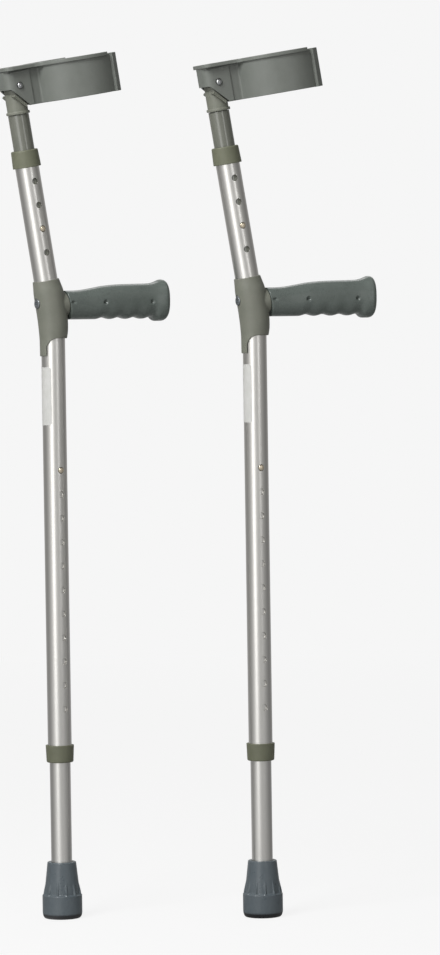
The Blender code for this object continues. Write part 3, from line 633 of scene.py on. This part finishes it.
def buildClipBend(v):
    middle = v["outer"] - v["thickness"] / 2
    turned = arc((0.0, -v["arm"]), middle, 0, -180, bendSteps)
    path = [(middle, v["tip"], 0.0)] + [(y, z, -pi * i / bendSteps) for i, (y, z) in enumerate(turned)]
    return polish(stripAlong(v, path))


def buildClipArm(v):
    middle = v["outer"] - v["thickness"] / 2
    heights = (v["split"] - v["arm"], v["armMiddle"], v["tip"])
    strip = stripAlong(v, [(-middle, z, pi) for z in heights])
    shoulder = crutch["tubeRadius"] + v["proud"] - v["dome"]
    profile = [(0.0, middle), (v["buttonRadius"], middle)]
    profile += [(x, shoulder + y) for x, y in quarterOval(v["buttonRadius"], v["dome"], 8)]
    return polish(join(strip, alongY(lathe("button", profile, smallSteps))))


turnedOver = Matrix.Rotation(pi, 4, "Y")
legClip = upBy(slidingTubes["leg"]["button"])
stemClip = upperFrame(slidingTubes["stem"]["button"]) @ turnedOver
for label, body, where in (("LegClip", "leg", legClip), ("StemClip", "stem", stemClip)):
    dress(buildClipArm(clip), label, body + "_button", brass, body + "_clip", where)
    dress(buildClipBend(clip), label + "Bend", body, brass, where=where)
print("clips made")

# collar on each end of the main tube, drawn with the tube's end at z = 0
collar = {
    "grip": 15.6, "lip": 2.5, "wall": 2.1, "taper": 0.8, "slide": 0.4,
    "rounds": (0.5, 1.5, 0.3, 0.1, 0.1, 0.4),
}


def buildCollar(v):
    bore = crutch["tubeRadius"] + crutch["touchGap"]
    throat = crutch["innerRadius"] + v["slide"]
    ledge = -crutch["touchGap"]
    low = ledge - v["lip"]
    wide = bore + v["wall"]
    points = [(wide, v["grip"]), (wide - v["taper"], low), (throat, low), (throat, ledge), (bore, ledge),
              (bore, v["grip"])]
    return polish(lathe("collar", rounded(points, v["rounds"]), closed=True))


legEnd = upBy(mainTube["bottom"])
stemEnd = upperFrame(mainTube["upperLength"]) @ turnedOver
for label, node, where in (("LegCollar", "leg_collar", legEnd), ("StemCollar", "stem_collar", stemEnd)):
    dress(buildCollar(collar), label, "frame", collarPlastic, node, where)
print("collars made")

# rubber foot: a cone on a wide band, twelve small ribs, ringed tread
ferrule = {
    "height": 60.0, "rim": 15.25, "cone": 19.0, "band": 21.2, "bandHeight": 24.4, "step": 1.8,
    "bore": 11.4, "floor": 9.0, "foot": 18.0, "footRound": 7.0, "land": 2.4, "groove": 2.2, "grooves": 2,
    "grooveDepth": 1.5, "draft": 0.3, "ribs": 12, "ribWidth": 1.8, "ribTop": 15.0, "ribFade": 12.5,
    "ribInset": 0.7, "ribRoot": 1.4, "coneRows": 14, "steps": 240,
    "rounds": (0.2, 0.5, 0.9, 0.6, 0.7, 0.0), "treadRound": 0.25,
}


# the cone's radius with its ribs, which stand out more and more down to the band
def ribbedRadius(r, z, a):
    v = ferrule
    low = v["bandHeight"]
    high = low + v["ribTop"]
    if r <= v["rim"] - 0.2 or not low + 0.2 < z < high + 0.1:
        return r
    turn = 2 * pi / v["ribs"]
    off = abs((a / turn) % 1.0 - 0.5) * turn * r
    root = v["cone"] - v["ribRoot"]
    peak = root + (v["band"] - v["ribInset"] - root) * clamp((high - z) / v["ribFade"])
    weight = smooth(1 - (off / v["ribWidth"] - 0.3) / 0.5)
    return max(r, r + (peak - r) * weight)


def buildFerrule(v):
    stepTop = v["bandHeight"] + v["step"]
    outside = [(v["bore"], v["floor"]), (v["bore"], v["height"]), (v["rim"], v["height"]),
               (v["cone"], stepTop), (v["band"], v["bandHeight"]), (v["band"], v["footRound"])]
    path = rounded(outside, v["rounds"], False)
    rows = [(0.0, v["floor"])]
    for a, b in zip(path, path[1:]):
        # extra rows up the cone, where the ribs fade out
        onCone = abs(b[1] - a[1]) > 12 and min(a[0], b[0]) > v["bore"] + 1
        count = v["coneRows"] if onCone else 1
        rows += [(a[0] + (b[0] - a[0]) * k / count, a[1] + (b[1] - a[1]) * k / count) for k in range(count)]
    side = v["band"] - v["foot"]
    rows += [(v["foot"] + x, v["footRound"] - y) for x, y in quarterOval(side, v["footRound"], 8)]
    radius = v["foot"] - v["land"]
    underside = []
    for _ in range(v["grooves"]):
        end = radius - v["groove"]
        underside += [(radius, 0.0), (radius - v["draft"], v["grooveDepth"]),
                  (end + v["draft"], v["grooveDepth"]), (end, 0.0)]
        radius = end - v["land"]
    rows += rounded([rows[-1]] + underside + [(0.0, 0.0)], v["treadRound"], False, 2)[1:]
    return polish(lathe("foot", rows, v["steps"], swell=ribbedRadius), 50)


dress(buildFerrule(ferrule), "Ferrule", "leg", footRubber, "ferrule")
print("feet made")

# handle moulding: a sleeve round the bend with a tongue down the back, a neck and an inner peg.
# Each station gives distance along the bent axis, shift forward and radius.
sleeve = {
    "stations": ((-18.2, 0.0, 14.2), (-6.0, 0.0, 14.3), (1.0, 0.3, 14.7), (8.0, 0.8, 15.5),
                 (18.0, 1.0, 16.0), (28.0, 0.9, 16.1), (38.0, 0.9, 16.2), (50.0, 0.9, 16.0),
                 (57.0, 0.5, 15.0), (63.3, 0.0, 14.1)),
    "rings": 60, "bore": 13.0, "frontBottom": 618.0, "tongueAngle": 34.0, "tongueRound": 10.0,
    "neck": 13.3, "neckEnd": 14.4, "neckEdge": 0.6,
    "peg": 9.0, "pegStart": 4.0, "pegEnd": 116.0, "pegCore": 6.3, "pegWeb": 44.0, "pegGap": 0.2,
    "pegRounds": (0, 0.6, 0.3, 0.2, 0.1, 0), "voxel": 0.55, "softness": 6,
}
bolt = {
    "radius": 3.0, "clear": 0.3, "head": 5.2, "headHeight": 1.7, "dome": 0.4, "flat": 0.72, "seatWall": 1.2,
    "nutThickness": 5.0, "pastNut": 1.5, "socket": 2.0, "socketDepth": 1.1,
    "rounds": (0, 0.5, 0.1, 0.15, 0.6, 1.2, 0),
}
boltSeat = -(crutch["handleHeight"] - crutch["bendHeight"]) * tan(bend) - sleeve["bore"] - bolt["seatWall"]
boltWay = bolt["radius"] + bolt["clear"]


# a solid bar along the bent axis, for cutting bores
def bentBar(radius):
    stations = [-farAway] + bendStations + [bendLength + farAway]
    return loft("bar", [ringAt(station, radius) for station in stations])


def buildMoulding(v):
    shifts = [(s, shift) for s, shift, _ in v["stations"]]
    radii = [(s, radius) for s, _, radius in v["stations"]]
    low = v["stations"][0][0]
    high = v["stations"][-1][0]
    stations = [low + (high - low) * k / v["rings"] for k in range(v["rings"] + 1)]
    body = loft("sleeve", [ringAt(s, along(radii, s), shift=along(shifts, s)) for s in stations])
    neck = rounded([(0.0, 0.0), (v["neck"], 0.0), (v["neck"], -v["neckEnd"]), (0.0, -v["neckEnd"])],
                   [0, v["neckEdge"], 0, 0], False)
    atNeck = atHandle @ Matrix.Translation((v["neckEnd"], 0.0, 0.0)) @ Matrix.Rotation(-bend, 4, "Y")
    join(body, moved(alongX(lathe("neck", neck)), atNeck))
    cut(body, bentBar(v["bore"]))
    # the front ends level, and only the tongue goes on down the back
    edge = -v["stations"][0][2] * cos(radians(v["tongueAngle"]))
    level = v["frontBottom"]
    outline = [(edge, level - farAway), (edge, level), (farAway, level), (farAway, level - farAway)]
    cut(body, alongY(slab("below", rounded(outline, [0, v["tongueRound"], 0, 0], True, 8))))
    remesh = body.modifiers.new("remesh", "REMESH")
    remesh.mode = "VOXEL"
    remesh.voxel_size = v["voxel"]
    soften = body.modifiers.new("soften", "SMOOTH")
    soften.factor = 0.5
    soften.iterations = v["softness"]
    bake(body)
    seat = bolt["head"] + bolt["clear"]
    way = [(0.0, farAway), (boltWay, farAway), (boltWay, boltSeat), (seat, boltSeat),
           (seat, boltSeat - farAway), (0.0, boltSeat - farAway)]
    cut(body, moved(alongX(lathe("way", way, smallSteps)), atHandle))
    points = [(v["peg"], v["pegStart"]), (v["peg"], v["pegEnd"]), (v["pegCore"], v["pegEnd"]),
              (v["pegCore"], v["pegWeb"]), (boltWay, v["pegWeb"]), (boltWay, v["pegStart"])]
    peg = lathe("peg", rounded(points, v["pegRounds"], True, 3), 64, True)
    gather([body, cut(moved(alongX(peg), atHandle), bentBar(v["bore"] + v["pegGap"]))])
    body.data.shade_smooth()
    body.data.set_sharp_from_angle(angle=radians(60))
    return body


dress(buildMoulding(sleeve), "HandleMoulding", "frame", moulding, "handle_moulding")
print("handle mouldings made")


# bolt through the sleeve, with a domed head and a hexagon socket
def buildBolt(v):
    seat = boltSeat - crutch["touchGap"]
    tip = sleeve["pegWeb"] + crutch["touchGap"] + v["nutThickness"] + v["pastNut"]
    top = seat - v["headHeight"]
    points = [(0.0, tip), (v["radius"], tip), (v["radius"], seat), (v["head"], seat),
              (v["head"], top + v["dome"]), (v["head"] * v["flat"], top), (0.0, top)]
    made = lathe("bolt", rounded(points, v["rounds"], False, 4), 48)
    cut(made, rod("socket", v["socket"], top - 2.0, top + v["socketDepth"], 6))
    return moved(alongX(polish(made)), atHandle)


dress(buildBolt(bolt), "HandleBolt", "frame", zinc, "handle_bolt")
# the nuts and washers, out of sight, stay the solids that they are
for side in stances:
    for node in ("handle_nut", "ferrule_washer"):
        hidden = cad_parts[side + "_" + node].data
        hidden.materials.clear()
        hidden.materials.append(steel)
print("bolts made")

# hand grip: a soft square-ish section that swells to a flared end, finger scallops below,
# small conical dimples on both faces. Tables give distance from the grip's start and a half size,
# and each dimple its distance, its half length, its half height and its depth.
grip = {
    "start": 14.7, "end": 137.0, "bore": 9.3, "boreEnd": 118.0, "square": 2.5,
    "top": ((0.0, 13.6), (16.0, 14.0), (32.0, 16.2), (46.0, 18.5), (64.0, 20.0), (90.0, 20.6),
            (104.0, 21.1), (111.0, 22.6), (117.0, 24.9), (120.5, 25.6), (122.3, 25.7)),
    "width": ((0.0, 13.6), (24.0, 13.6), (48.0, 14.6), (90.0, 14.8), (104.0, 15.2), (113.0, 17.0),
              (119.0, 17.8), (122.3, 17.8)),
    "bottom": 17.1, "flareBottom": 19.7, "flareStart": 104.0, "flareLength": 7.0,
    "fingerStart": 34.8, "fingerPitch": 19.4, "fingers": 4, "fingerDepth": 1.8,
    "fingerSide": 0.3, "sideTop": 2.0, "sideFade": 14.0,
    "nose": 6.0, "endCap": ((0.05, 3.0), (0.1, 8.0)),
    "startRound": 0.8, "startCap": 3.0, "leanLength": 18.0,
    "dimples": ((4.2, 3.4, 1.8, 2.0), (42.6, 2.7, 2.7, 3.3), (99.8, 2.6, 2.6, 3.2)), "dimpleHeight": 1.0,
    "sides": 168, "step": 0.65,
}


def gripRing(v, reach, shrink):
    past = reach - v["fingerStart"]
    wave = 0.0
    if 0 < past < v["fingerPitch"] * v["fingers"]:
        wave = (1 - cos(2 * pi * past / v["fingerPitch"])) / 2
    flare = smooth((reach - v["flareStart"]) / v["flareLength"])
    low = (v["fingerDepth"] * wave - v["bottom"]) * (1 - flare) - v["flareBottom"] * flare
    top = along(v["top"], reach)
    middle = (top + low) / 2
    half = (top - low) / 2 - shrink
    width = along(v["width"], reach) - shrink
    ring = []
    for i in range(v["sides"]):
        a = 2 * pi * i / v["sides"]
        spread = (abs(cos(a)) ** v["square"] + abs(sin(a)) ** v["square"]) ** (-1 / v["square"])
        across = spread * cos(a)
        z = middle + half * spread * sin(a)
        # the scallops run up the sides and fade out at mid height
        inward = v["fingerSide"] * wave * (1 - flare) * min(abs(across) * 2, 1.0)
        inward *= clamp((v["sideTop"] - z) / v["sideFade"])
        for place, halfLong, halfTall, deep in v["dimples"]:
            away = hypot((reach - place) / halfLong, (z - v["dimpleHeight"]) / halfTall)
            inward += deep * max(1.0 - away, 0.0)
        y = width * across
        lean = z * tan(bend) * max(1.0 - reach / v["leanLength"], 0.0)
        ring.append((v["start"] + reach - lean, y - copysign(inward, y), crutch["handleHeight"] + z))
    return ring


def buildGrip(v):
    length = v["end"] - v["start"]
    edge = v["startRound"]
    nose = v["nose"]
    # distance along the grip, and how far its section is drawn in there
    stations = [(0.0, v["startCap"])] + [(edge - x, edge - y) for x, y in quarterOval(edge, edge, 4)]
    plain = length - nose - edge
    count = int(plain / v["step"])
    stations += [(edge + plain * k / count, 0.0) for k in range(1, count + 1)]
    stations += [(length - nose + y, nose - x) for x, y in quarterOval(nose, nose, 12)[1:]]
    stations += [(length + out, nose + inset) for out, inset in v["endCap"]]
    made = loft("grip", [gripRing(v, reach, shrink) for reach, shrink in stations])
    bore = moved(alongX(rod("bore", v["bore"], 0.0, v["boreEnd"], 64)), atHandle)
    return polish(cut(made, bore), 50)


dress(buildGrip(grip), "HandleGrip", "frame", gripVinyl, "handle_grip")
print("grips made")

# blank sticker wrapped half round the tube, with round corners
label = {
    "top": 587.5, "height": 61.5, "frontAngle": 49.0, "backAngle": 63.0, "thickness": 0.15, "lift": 0.05,
    "corner": 2.5, "columns": 64, "rows": 48,
}


def buildLabel(v):
    radius = crutch["tubeRadius"] + v["lift"]
    back = -radius * radians(v["backAngle"])
    front = radius * radians(v["frontAngle"])
    low = v["top"] - v["height"]
    columns = v["columns"]
    rows = v["rows"]
    verts = []
    grid = {}
    for layer, r in enumerate((radius + v["thickness"], radius)):
        for row in range(rows + 1):
            z = v["height"] * row / rows
            beyond = max(v["corner"] - min(z, v["height"] - z), 0.0)
            inset = v["corner"] - sqrt(v["corner"] ** 2 - beyond ** 2)
            for column in range(columns + 1):
                a = pi + (back + inset + (front - back - 2 * inset) * column / columns) / radius
                grid[layer, row, column] = len(verts)
                verts.append((r * cos(a), r * sin(a), low + z))
    faces = []
    for layer in (0, 1):
        for row in range(rows):
            for column in range(columns):
                faces.append([grid[layer, row, column], grid[layer, row, column + 1],
                              grid[layer, row + 1, column + 1], grid[layer, row + 1, column]])
    border = [(0, c) for c in range(columns)] + [(r, columns) for r in range(rows)]
    border += [(rows - r, columns - c) for r, c in border]
    for (r0, c0), (r1, c1) in zip(border, border[1:] + border[:1]):
        faces.append([grid[0, r0, c0], grid[1, r0, c0], grid[1, r1, c1], grid[0, r1, c1]])
    return polish(makeObject("label", verts, faces), 50)


dress(buildLabel(label), "Label", "frame", stickerFilm, "label")
print("labels made")

# stem head, around the cuff's rivet: plug, bead, round hinge end and slanted shoulder
head = {
    "top": 14.0, "beadLow": -30.0, "beadHeight": 3.0, "bead": 12.6, "plug": 9.2, "plugLength": 25.0,
    "back": -9.6, "backLow": -8.0,
    "shoulderGap": 1.5, "shoulderThick": 3.0, "shoulderHalf": 13.6, "shoulderReach": (1.0, 19.0),
    "shoulderRound": 0.8, "shoulderEdge": 0.4, "rivetHole": 2.8,
    "rounds": (0, 0, 0.4, 0.8, 0.8, 0.1, 1.0, 0),
    "hatch": 2.0, "hatchWidth": 0.9, "hatchDepth": 0.5, "hatchFirst": 2.2, "hatchLast": 1.2,
}
# the line that the cuff's lower edge and the shoulder follow: its start from the rivet, and its slope
slant = {"start": (-10.5, -3.0), "slope": 44.0}


# directions down the slant and out from it
def slantFrame():
    a = radians(slant["slope"])
    return Vector((cos(a), -sin(a))), Vector((-sin(a), -cos(a)))


def buildHead(v):
    r = crutch["innerRadius"]
    low = v["beadLow"]
    high = low + v["beadHeight"]
    end = low - v["plugLength"]
    points = [(0.0, v["top"]), (r, v["top"]), (r, high), (v["bead"], high), (v["bead"], low),
              (v["plug"], low), (v["plug"], end), (0.0, end)]
    made = lathe("head", rounded(points, v["rounds"], False), 128)
    keep = arc((0.0, 0.0), r, 0, degrees(acos(v["back"] / r)), 48)
    keep += [(v["back"], v["backLow"]), (-farAway, v["backLow"]), (-farAway, -farAway), (farAway, -farAway),
             (farAway, -r)]
    combine(made, alongY(slab("keep", keep)), "INTERSECT")
    down, out = slantFrame()
    near = Vector(slant["start"]).dot(out) + v["shoulderGap"]
    far = near + v["shoulderThick"]
    first, last = v["shoulderReach"]
    corners = [out * d + down * s for d, s in ((near, first), (near, last), (far, last), (far, first))]
    outline = rounded([tuple(c) for c in corners], v["shoulderRound"], True, 3)
    half = v["shoulderHalf"]
    plate = alongY(slab("shoulder", outline, -half, half, v["shoulderEdge"]))
    # small upright grooves along both side faces of the shoulder
    grooves = []
    wide = v["hatchWidth"] / 2
    x = min(c.x for c in corners) + v["hatchFirst"]
    while x < max(c.x for c in corners) - v["hatchLast"]:
        for y in (-half, half):
            near, far = y - v["hatchDepth"], y + v["hatchDepth"]
            box = [(x - wide, near), (x + wide, near), (x + wide, far), (x - wide, far)]
            grooves.append(slab("groove", box))
        x += v["hatch"]
    join(made, cut(plate, gather(grooves)))
    cut(made, alongY(rod("hinge hole", v["rivetHole"])))
    return polish(made)


dress(buildHead(head), "StemHead", "stem", moulding, "stem_head", atRivet)
print("stem heads made")

# forearm cuff, around its rivet: an open ring with a rim, proud end lips and two hinge cheeks.
# A cheek is a narrow neck with a raised plate at its rear, round the rivet.
cuff = {
    "top": 20.5, "bottom": -22.2, "centre": 72.0, "radius": 49.0, "wall": 3.0, "armEnd": 50.0, "drop": 2.2,
    "lipAngle": 9.5, "lipProud": 3.4, "lipDrop": 1.8, "lipRoot": 40.0, "lipRound": 0.9,
    "rimEnd": 66.0, "rimProud": 2.0, "rimHeight": 4.0, "rimHalf": 19.0, "rimRear": -15.6, "rimFillet": 12.0,
    "rimRound": 1.2, "cheekInner": 11.5, "cheekOuter": 14.2, "cheekRear": -14.6, "cheekFillet": 2.5,
    "corner": 9.0, "plateEnd": 14.2, "plateStep": 1.5, "plateRound": 0.7, "neckInner": 9.7, "edge": 0.6,
    "rivetHole": 2.8, "recess": (-11.0, 23.0, 2.4, 2.2), "recessEnd": 0.3, "rivetSeat": (4.1, 0.7),
    "slantRound": 1.0, "ringLift": 0.1, "lipCover": 0.5, "over": 0.3,
    "innerEase": ((1.2, 0.0), (0.3, 0.36), (0.0, 0.96)),
}


# the plan of the cuff from above: an open ring that runs into a block with round corners
def cuffPlan(v, radius, half, rear, end, endRound, fillet):
    centre = v["centre"]
    filletY = half + fillet
    filletX = centre - sqrt((radius + fillet) ** 2 - filletY ** 2)
    meet = degrees(atan2(filletY, filletX - centre))
    outward = Vector((cos(radians(end)), sin(radians(end))))
    tip = Vector((centre, 0.0)) + outward * radius
    beside = tip + Vector((-outward.y, outward.x)) * 4
    path = [tuple(tip - outward * 8), tuple(tip), tuple(beside)]
    side = rounded(path, [0, endRound, 0], False, 4)[1:-1]
    side += arc((centre, 0.0), radius, end + degrees(endRound / radius), meet, 90)[1:]
    side += arc((filletX, filletY), fillet, meet - 180, -90, 10)[1:]
    side += arc((rear + v["corner"], half - v["corner"]), v["corner"], 90, 180, 12)
    return [(centre, 0.0)] + mirrored(side)


def buildCuff(v):
    top, bottom, edge = v["top"], v["bottom"], v["edge"]
    rear, outer, corner = v["cheekRear"], v["cheekOuter"], v["corner"]
    armEnd = v["armEnd"] + v["lipCover"]
    ring = cuffPlan(v, v["radius"], outer - v["plateStep"], rear, armEnd, 0.0, v["cheekFillet"])
    plate = rounded([(rear, -outer), (v["plateEnd"], -outer), (v["plateEnd"], outer), (rear, outer)],
                    [corner, v["plateRound"], v["plateRound"], corner], True, 12)
    rim = cuffPlan(v, v["radius"] + v["rimProud"], v["rimHalf"], v["rimRear"], v["rimEnd"], v["rimRound"],
                   v["rimFillet"])
    under = top - v["rimHeight"]
    low, high = bottom + v["ringLift"], top - v["drop"]
    made = slab("cuff", ring, low, high, edge)
    join(made, slab("plate", plate, low, high, edge))
    join(made, slab("rim", rim, under, top, edge))
    # proud lips on the two ends of the ring
    first, last = v["armEnd"], v["armEnd"] + v["lipAngle"]
    root = arc((v["centre"], 0.0), v["lipRoot"], first, last, 1)
    lip = root[:1] + arc((v["centre"], 0.0), v["radius"] + v["lipProud"], first, last, 8) + root[1:]
    lip = rounded(lip, [0, v["lipRound"]] + [0] * 7 + [v["lipRound"], 0], True, 4)
    for side in (-1, 1):
        join(made, slab("lip", [(x, side * y) for x, y in lip], bottom, top - v["lipDrop"], edge))
    # inside of the ring, with its edges eased, then the pocket between the cheeks
    inner = v["radius"] - v["wall"]
    eased = [(inner + wider, deep) for wider, deep in v["innerEase"]]
    mouth = eased[0][0]
    hollow = [(0.0, -farAway), (mouth, -farAway)] + [(r, bottom + z) for r, z in eased]
    hollow += [(r, top - z) for r, z in reversed(eased)] + [(mouth, farAway), (0.0, farAway)]
    cut(made, moved(lathe("hollow", hollow, 240), Matrix.Translation((v["centre"], 0.0, 0.0))))
    wall = outer - v["cheekInner"]
    pocket = [(v["centre"] - v["radius"] - v["over"], v["neckInner"]),
              (v["plateEnd"] - 1.0, v["neckInner"]), (v["plateEnd"] - 2.0, v["cheekInner"])]
    pocket += arc((rear + corner, outer - corner), corner - wall, 90, 180, 12)
    cut(made, slab("pocket", mirrored(pocket), -farAway, under))
    # slanted lower edge of the cheeks
    down, _ = slantFrame()
    start = Vector(slant["start"])
    end = start + down * farAway
    below = [(-farAway, start.y), tuple(start), tuple(end), (-farAway, end.y)]
    below = rounded(below, [0, v["slantRound"], 0, 0], True, 4)
    cut(made, alongY(slab("below", below, -outer - v["over"], outer + v["over"])))
    cut(made, alongY(rod("hinge hole", v["rivetHole"])))
    # a shallow seat round each rivet head, and a recess under the rim that runs out along the cheek
    seat, deep = v["rivetSeat"]
    first, last, tall, inset = v["recess"]
    outline = [(first, under - tall), (last, under - v["recessEnd"]), (last, under), (first, under)]
    for side in (-1, 1):
        near, far = sorted((side * (outer - deep), side * farAway))
        cut(made, alongY(rod("seat", seat, near, far, 48)))
        near, far = sorted((side * (outer - inset), side * farAway))
        cut(made, alongY(slab("recess", outline, near, far)))
    return polish(made, 35)


dress(buildCuff(cuff), "Cuff", "cuff", cuffPlastic, "cuff", atRivet)
print("cuffs made")

# hinge rivet with a domed head on each cheek
rivet = {"radius": 2.5, "head": 3.3, "height": 2.3, "brim": 0.25}


def buildRivet(v):
    face = cuff["cheekOuter"] + crutch["touchGap"]
    dome = quarterOval(v["head"], v["height"] - v["brim"], 10)
    side = [(r, face + v["brim"] + z) for r, z in reversed(dome)] + [(v["head"], face), (v["radius"], face)]
    return alongY(polish(lathe("rivet", mirrored(side), 48)))


dress(buildRivet(rivet), "CuffRivet", "stem", steel, "cuff_rivet", atRivet)
print("rivets made")

# studio: pale floor, soft lamps, the photograph's camera; sizes and places in metres
studio = {
    "floor": 6.0, "white": 0.9216, "floorColor": 0.45, "litShare": 0.20, "litLevel": 0.34,
    "fade": (0.8, 3.5), "glowColor": (1.0, 0.99, 0.97),
    "ambient": 0.25, "frontGlow": 0.235, "leftGlow": 0.03, "least": 0.03,
    "band": 0.305, "bandTurn": -32.0, "bandNarrow": 7.0, "backGlow": 0.50, "backNarrow": 2.0,
    "aimAcross": 0.16,
    "lamps": (
        {"name": "high key", "turn": -38.0, "distance": 1.75, "height": 2.25, "aim": 0.55,
         "size": (1.0, 1.0), "power": 52.0},
        {"name": "tall box", "turn": -28.0, "distance": 2.4, "height": 0.85, "aim": 0.7,
         "size": (1.05, 2.0), "power": 8.2},
        {"name": "back fill", "turn": 170.0, "distance": 2.2, "height": 2.3, "aim": 0.6,
         "size": (1.6, 1.0), "power": 8.0},
        {"name": "right box", "turn": 36.0, "distance": 2.6, "height": 1.0, "aim": 1.0,
         "size": (0.6, 1.1), "power": 2.8},
    ),
}


def emptyTree(owner):
    owner.use_nodes = True
    owner.node_tree.nodes.clear()
    return Nodes(owner.node_tree)


# the room is bright in front, dim at the sides and paler again behind,
# with one tall band of light at the front left
def roomGlow(tree, direction, v):
    turn = radians(v["bandTurn"])
    plain = tree.math("ADD", tree.dot(direction, (-v["leftGlow"], -v["frontGlow"], 0.0)), v["ambient"])
    facing = tree.math("MAXIMUM", tree.dot(direction, (sin(turn), -cos(turn), 0.0)), 0.0)
    band = tree.math("MULTIPLY", tree.math("POWER", facing, v["bandNarrow"]), v["band"])
    behind = tree.math("MAXIMUM", tree.dot(direction, (0.0, 1.0, 0.0)), 0.0)
    back = tree.math("MULTIPLY", tree.math("POWER", behind, v["backNarrow"]), v["backGlow"])
    return tree.math("ADD", tree.math("ADD", tree.math("MAXIMUM", plain, v["least"]), band), back)


# the camera sees a white floor with the soft shadow in it, and metal sees the room's glow carried on
def makeFloor(v):
    rim = [(x, y, 0.0) for x, y in arc((0.0, 0.0), v["floor"], 0, 360, roundSteps)[:-1]]
    faces = [(0, i + 1, (i + 1) % roundSteps + 1) for i in range(roundSteps)]
    floor = makeObject("floor", [(0.0, 0.0, 0.0)] + rim, faces)
    material = bpy.data.materials.new("pale floor")
    tree = emptyTree(material)
    place = tree.make("TexCoord").outputs["Object"]
    distance = tree.make("VectorMath", {0: place}, operation="LENGTH").outputs["Value"]
    share = tree.remap(distance, *v["fade"], v["litShare"], 0.0)
    # the white fills up what the lit share leaves
    level = tree.math("SUBTRACT", v["white"], tree.math("MULTIPLY", share, v["litLevel"]))
    level = tree.math("DIVIDE", level, tree.math("SUBTRACT", 1.0, share))
    white = tree.make("Emission", {"Strength": level})
    away = tree.make("VectorMath", {0: place}, operation="NORMALIZE").outputs["Vector"]
    room = tree.make("Emission", {"Strength": roomGlow(tree, away, v)})
    lit = tree.make("BsdfDiffuse", {"Color": (v["floorColor"],) * 3}).outputs[0]
    rays = tree.make("LightPath").outputs
    shown = tree.mixShader(share, white.outputs[0], lit)
    metal = tree.mixShader(rays["Is Glossy Ray"], lit, room.outputs[0])
    tree.make("OutputMaterial", {"Surface": tree.mixShader(rays["Is Camera Ray"], metal, shown)})
    floor.data.materials.append(material)


def makeWorld(v):
    world = bpy.data.worlds.new("studio")
    bpy.context.scene.world = world
    tree = emptyTree(world)
    pale = tree.make("Background", {"Color": (v["white"],) * 3}).outputs[0]
    around = tree.make("TexCoord").outputs["Generated"]
    glow = tree.make("Background", {"Color": v["glowColor"], "Strength": roomGlow(tree, around, v)})
    camera = tree.make("LightPath").outputs["Is Camera Ray"]
    tree.make("OutputWorld", {"Surface": tree.mixShader(camera, glow.outputs[0], pale)})


def makeLamp(v, aimAcross):
    lamp = bpy.data.lights.new(v["name"], "AREA")
    lamp.shape = "RECTANGLE"
    lamp.size, lamp.size_y = v["size"]
    lamp.energy = v["power"]
    obj = addObject(v["name"], lamp)
    turn = radians(v["turn"])
    away = Vector((sin(turn) * v["distance"], -cos(turn) * v["distance"], v["height"] - v["aim"]))
    obj.location = Vector((aimAcross, 0.0, v["aim"])) + away
    obj.rotation_euler = (-away).to_track_quat("-Z", "Y").to_euler()


makeFloor(studio)
makeWorld(studio)
for lampValues in studio["lamps"]:
    makeLamp(lampValues, studio["aimAcross"])

# camera: place in metres, tilt down and roll in degrees, frame height and focal length in millimetres
cameraValues = {
    "place": (0.1751, -4.253, 0.6138), "down": 1.97, "roll": 0.867, "frameHeight": 24.0,
    "lens": 4000.0 * 24.0 / 955.0, "sight": 60.0,
}


def makeCamera(v):
    camera = bpy.data.cameras.new("camera")
    camera.sensor_fit = "VERTICAL"
    camera.sensor_height = v["frameHeight"]
    camera.lens = v["lens"]
    camera.clip_end = v["sight"]
    obj = addObject("camera", camera)
    tilt = Matrix.Rotation(radians(90.0 - v["down"]), 4, "X")
    roll = Matrix.Rotation(-radians(v["roll"]), 4, "Z")
    obj.matrix_world = Matrix.Translation(v["place"]) @ tilt @ roll
    bpy.context.scene.camera = obj


makeCamera(cameraValues)
bpy.context.scene.view_settings.view_transform = "Standard"
print("studio made")
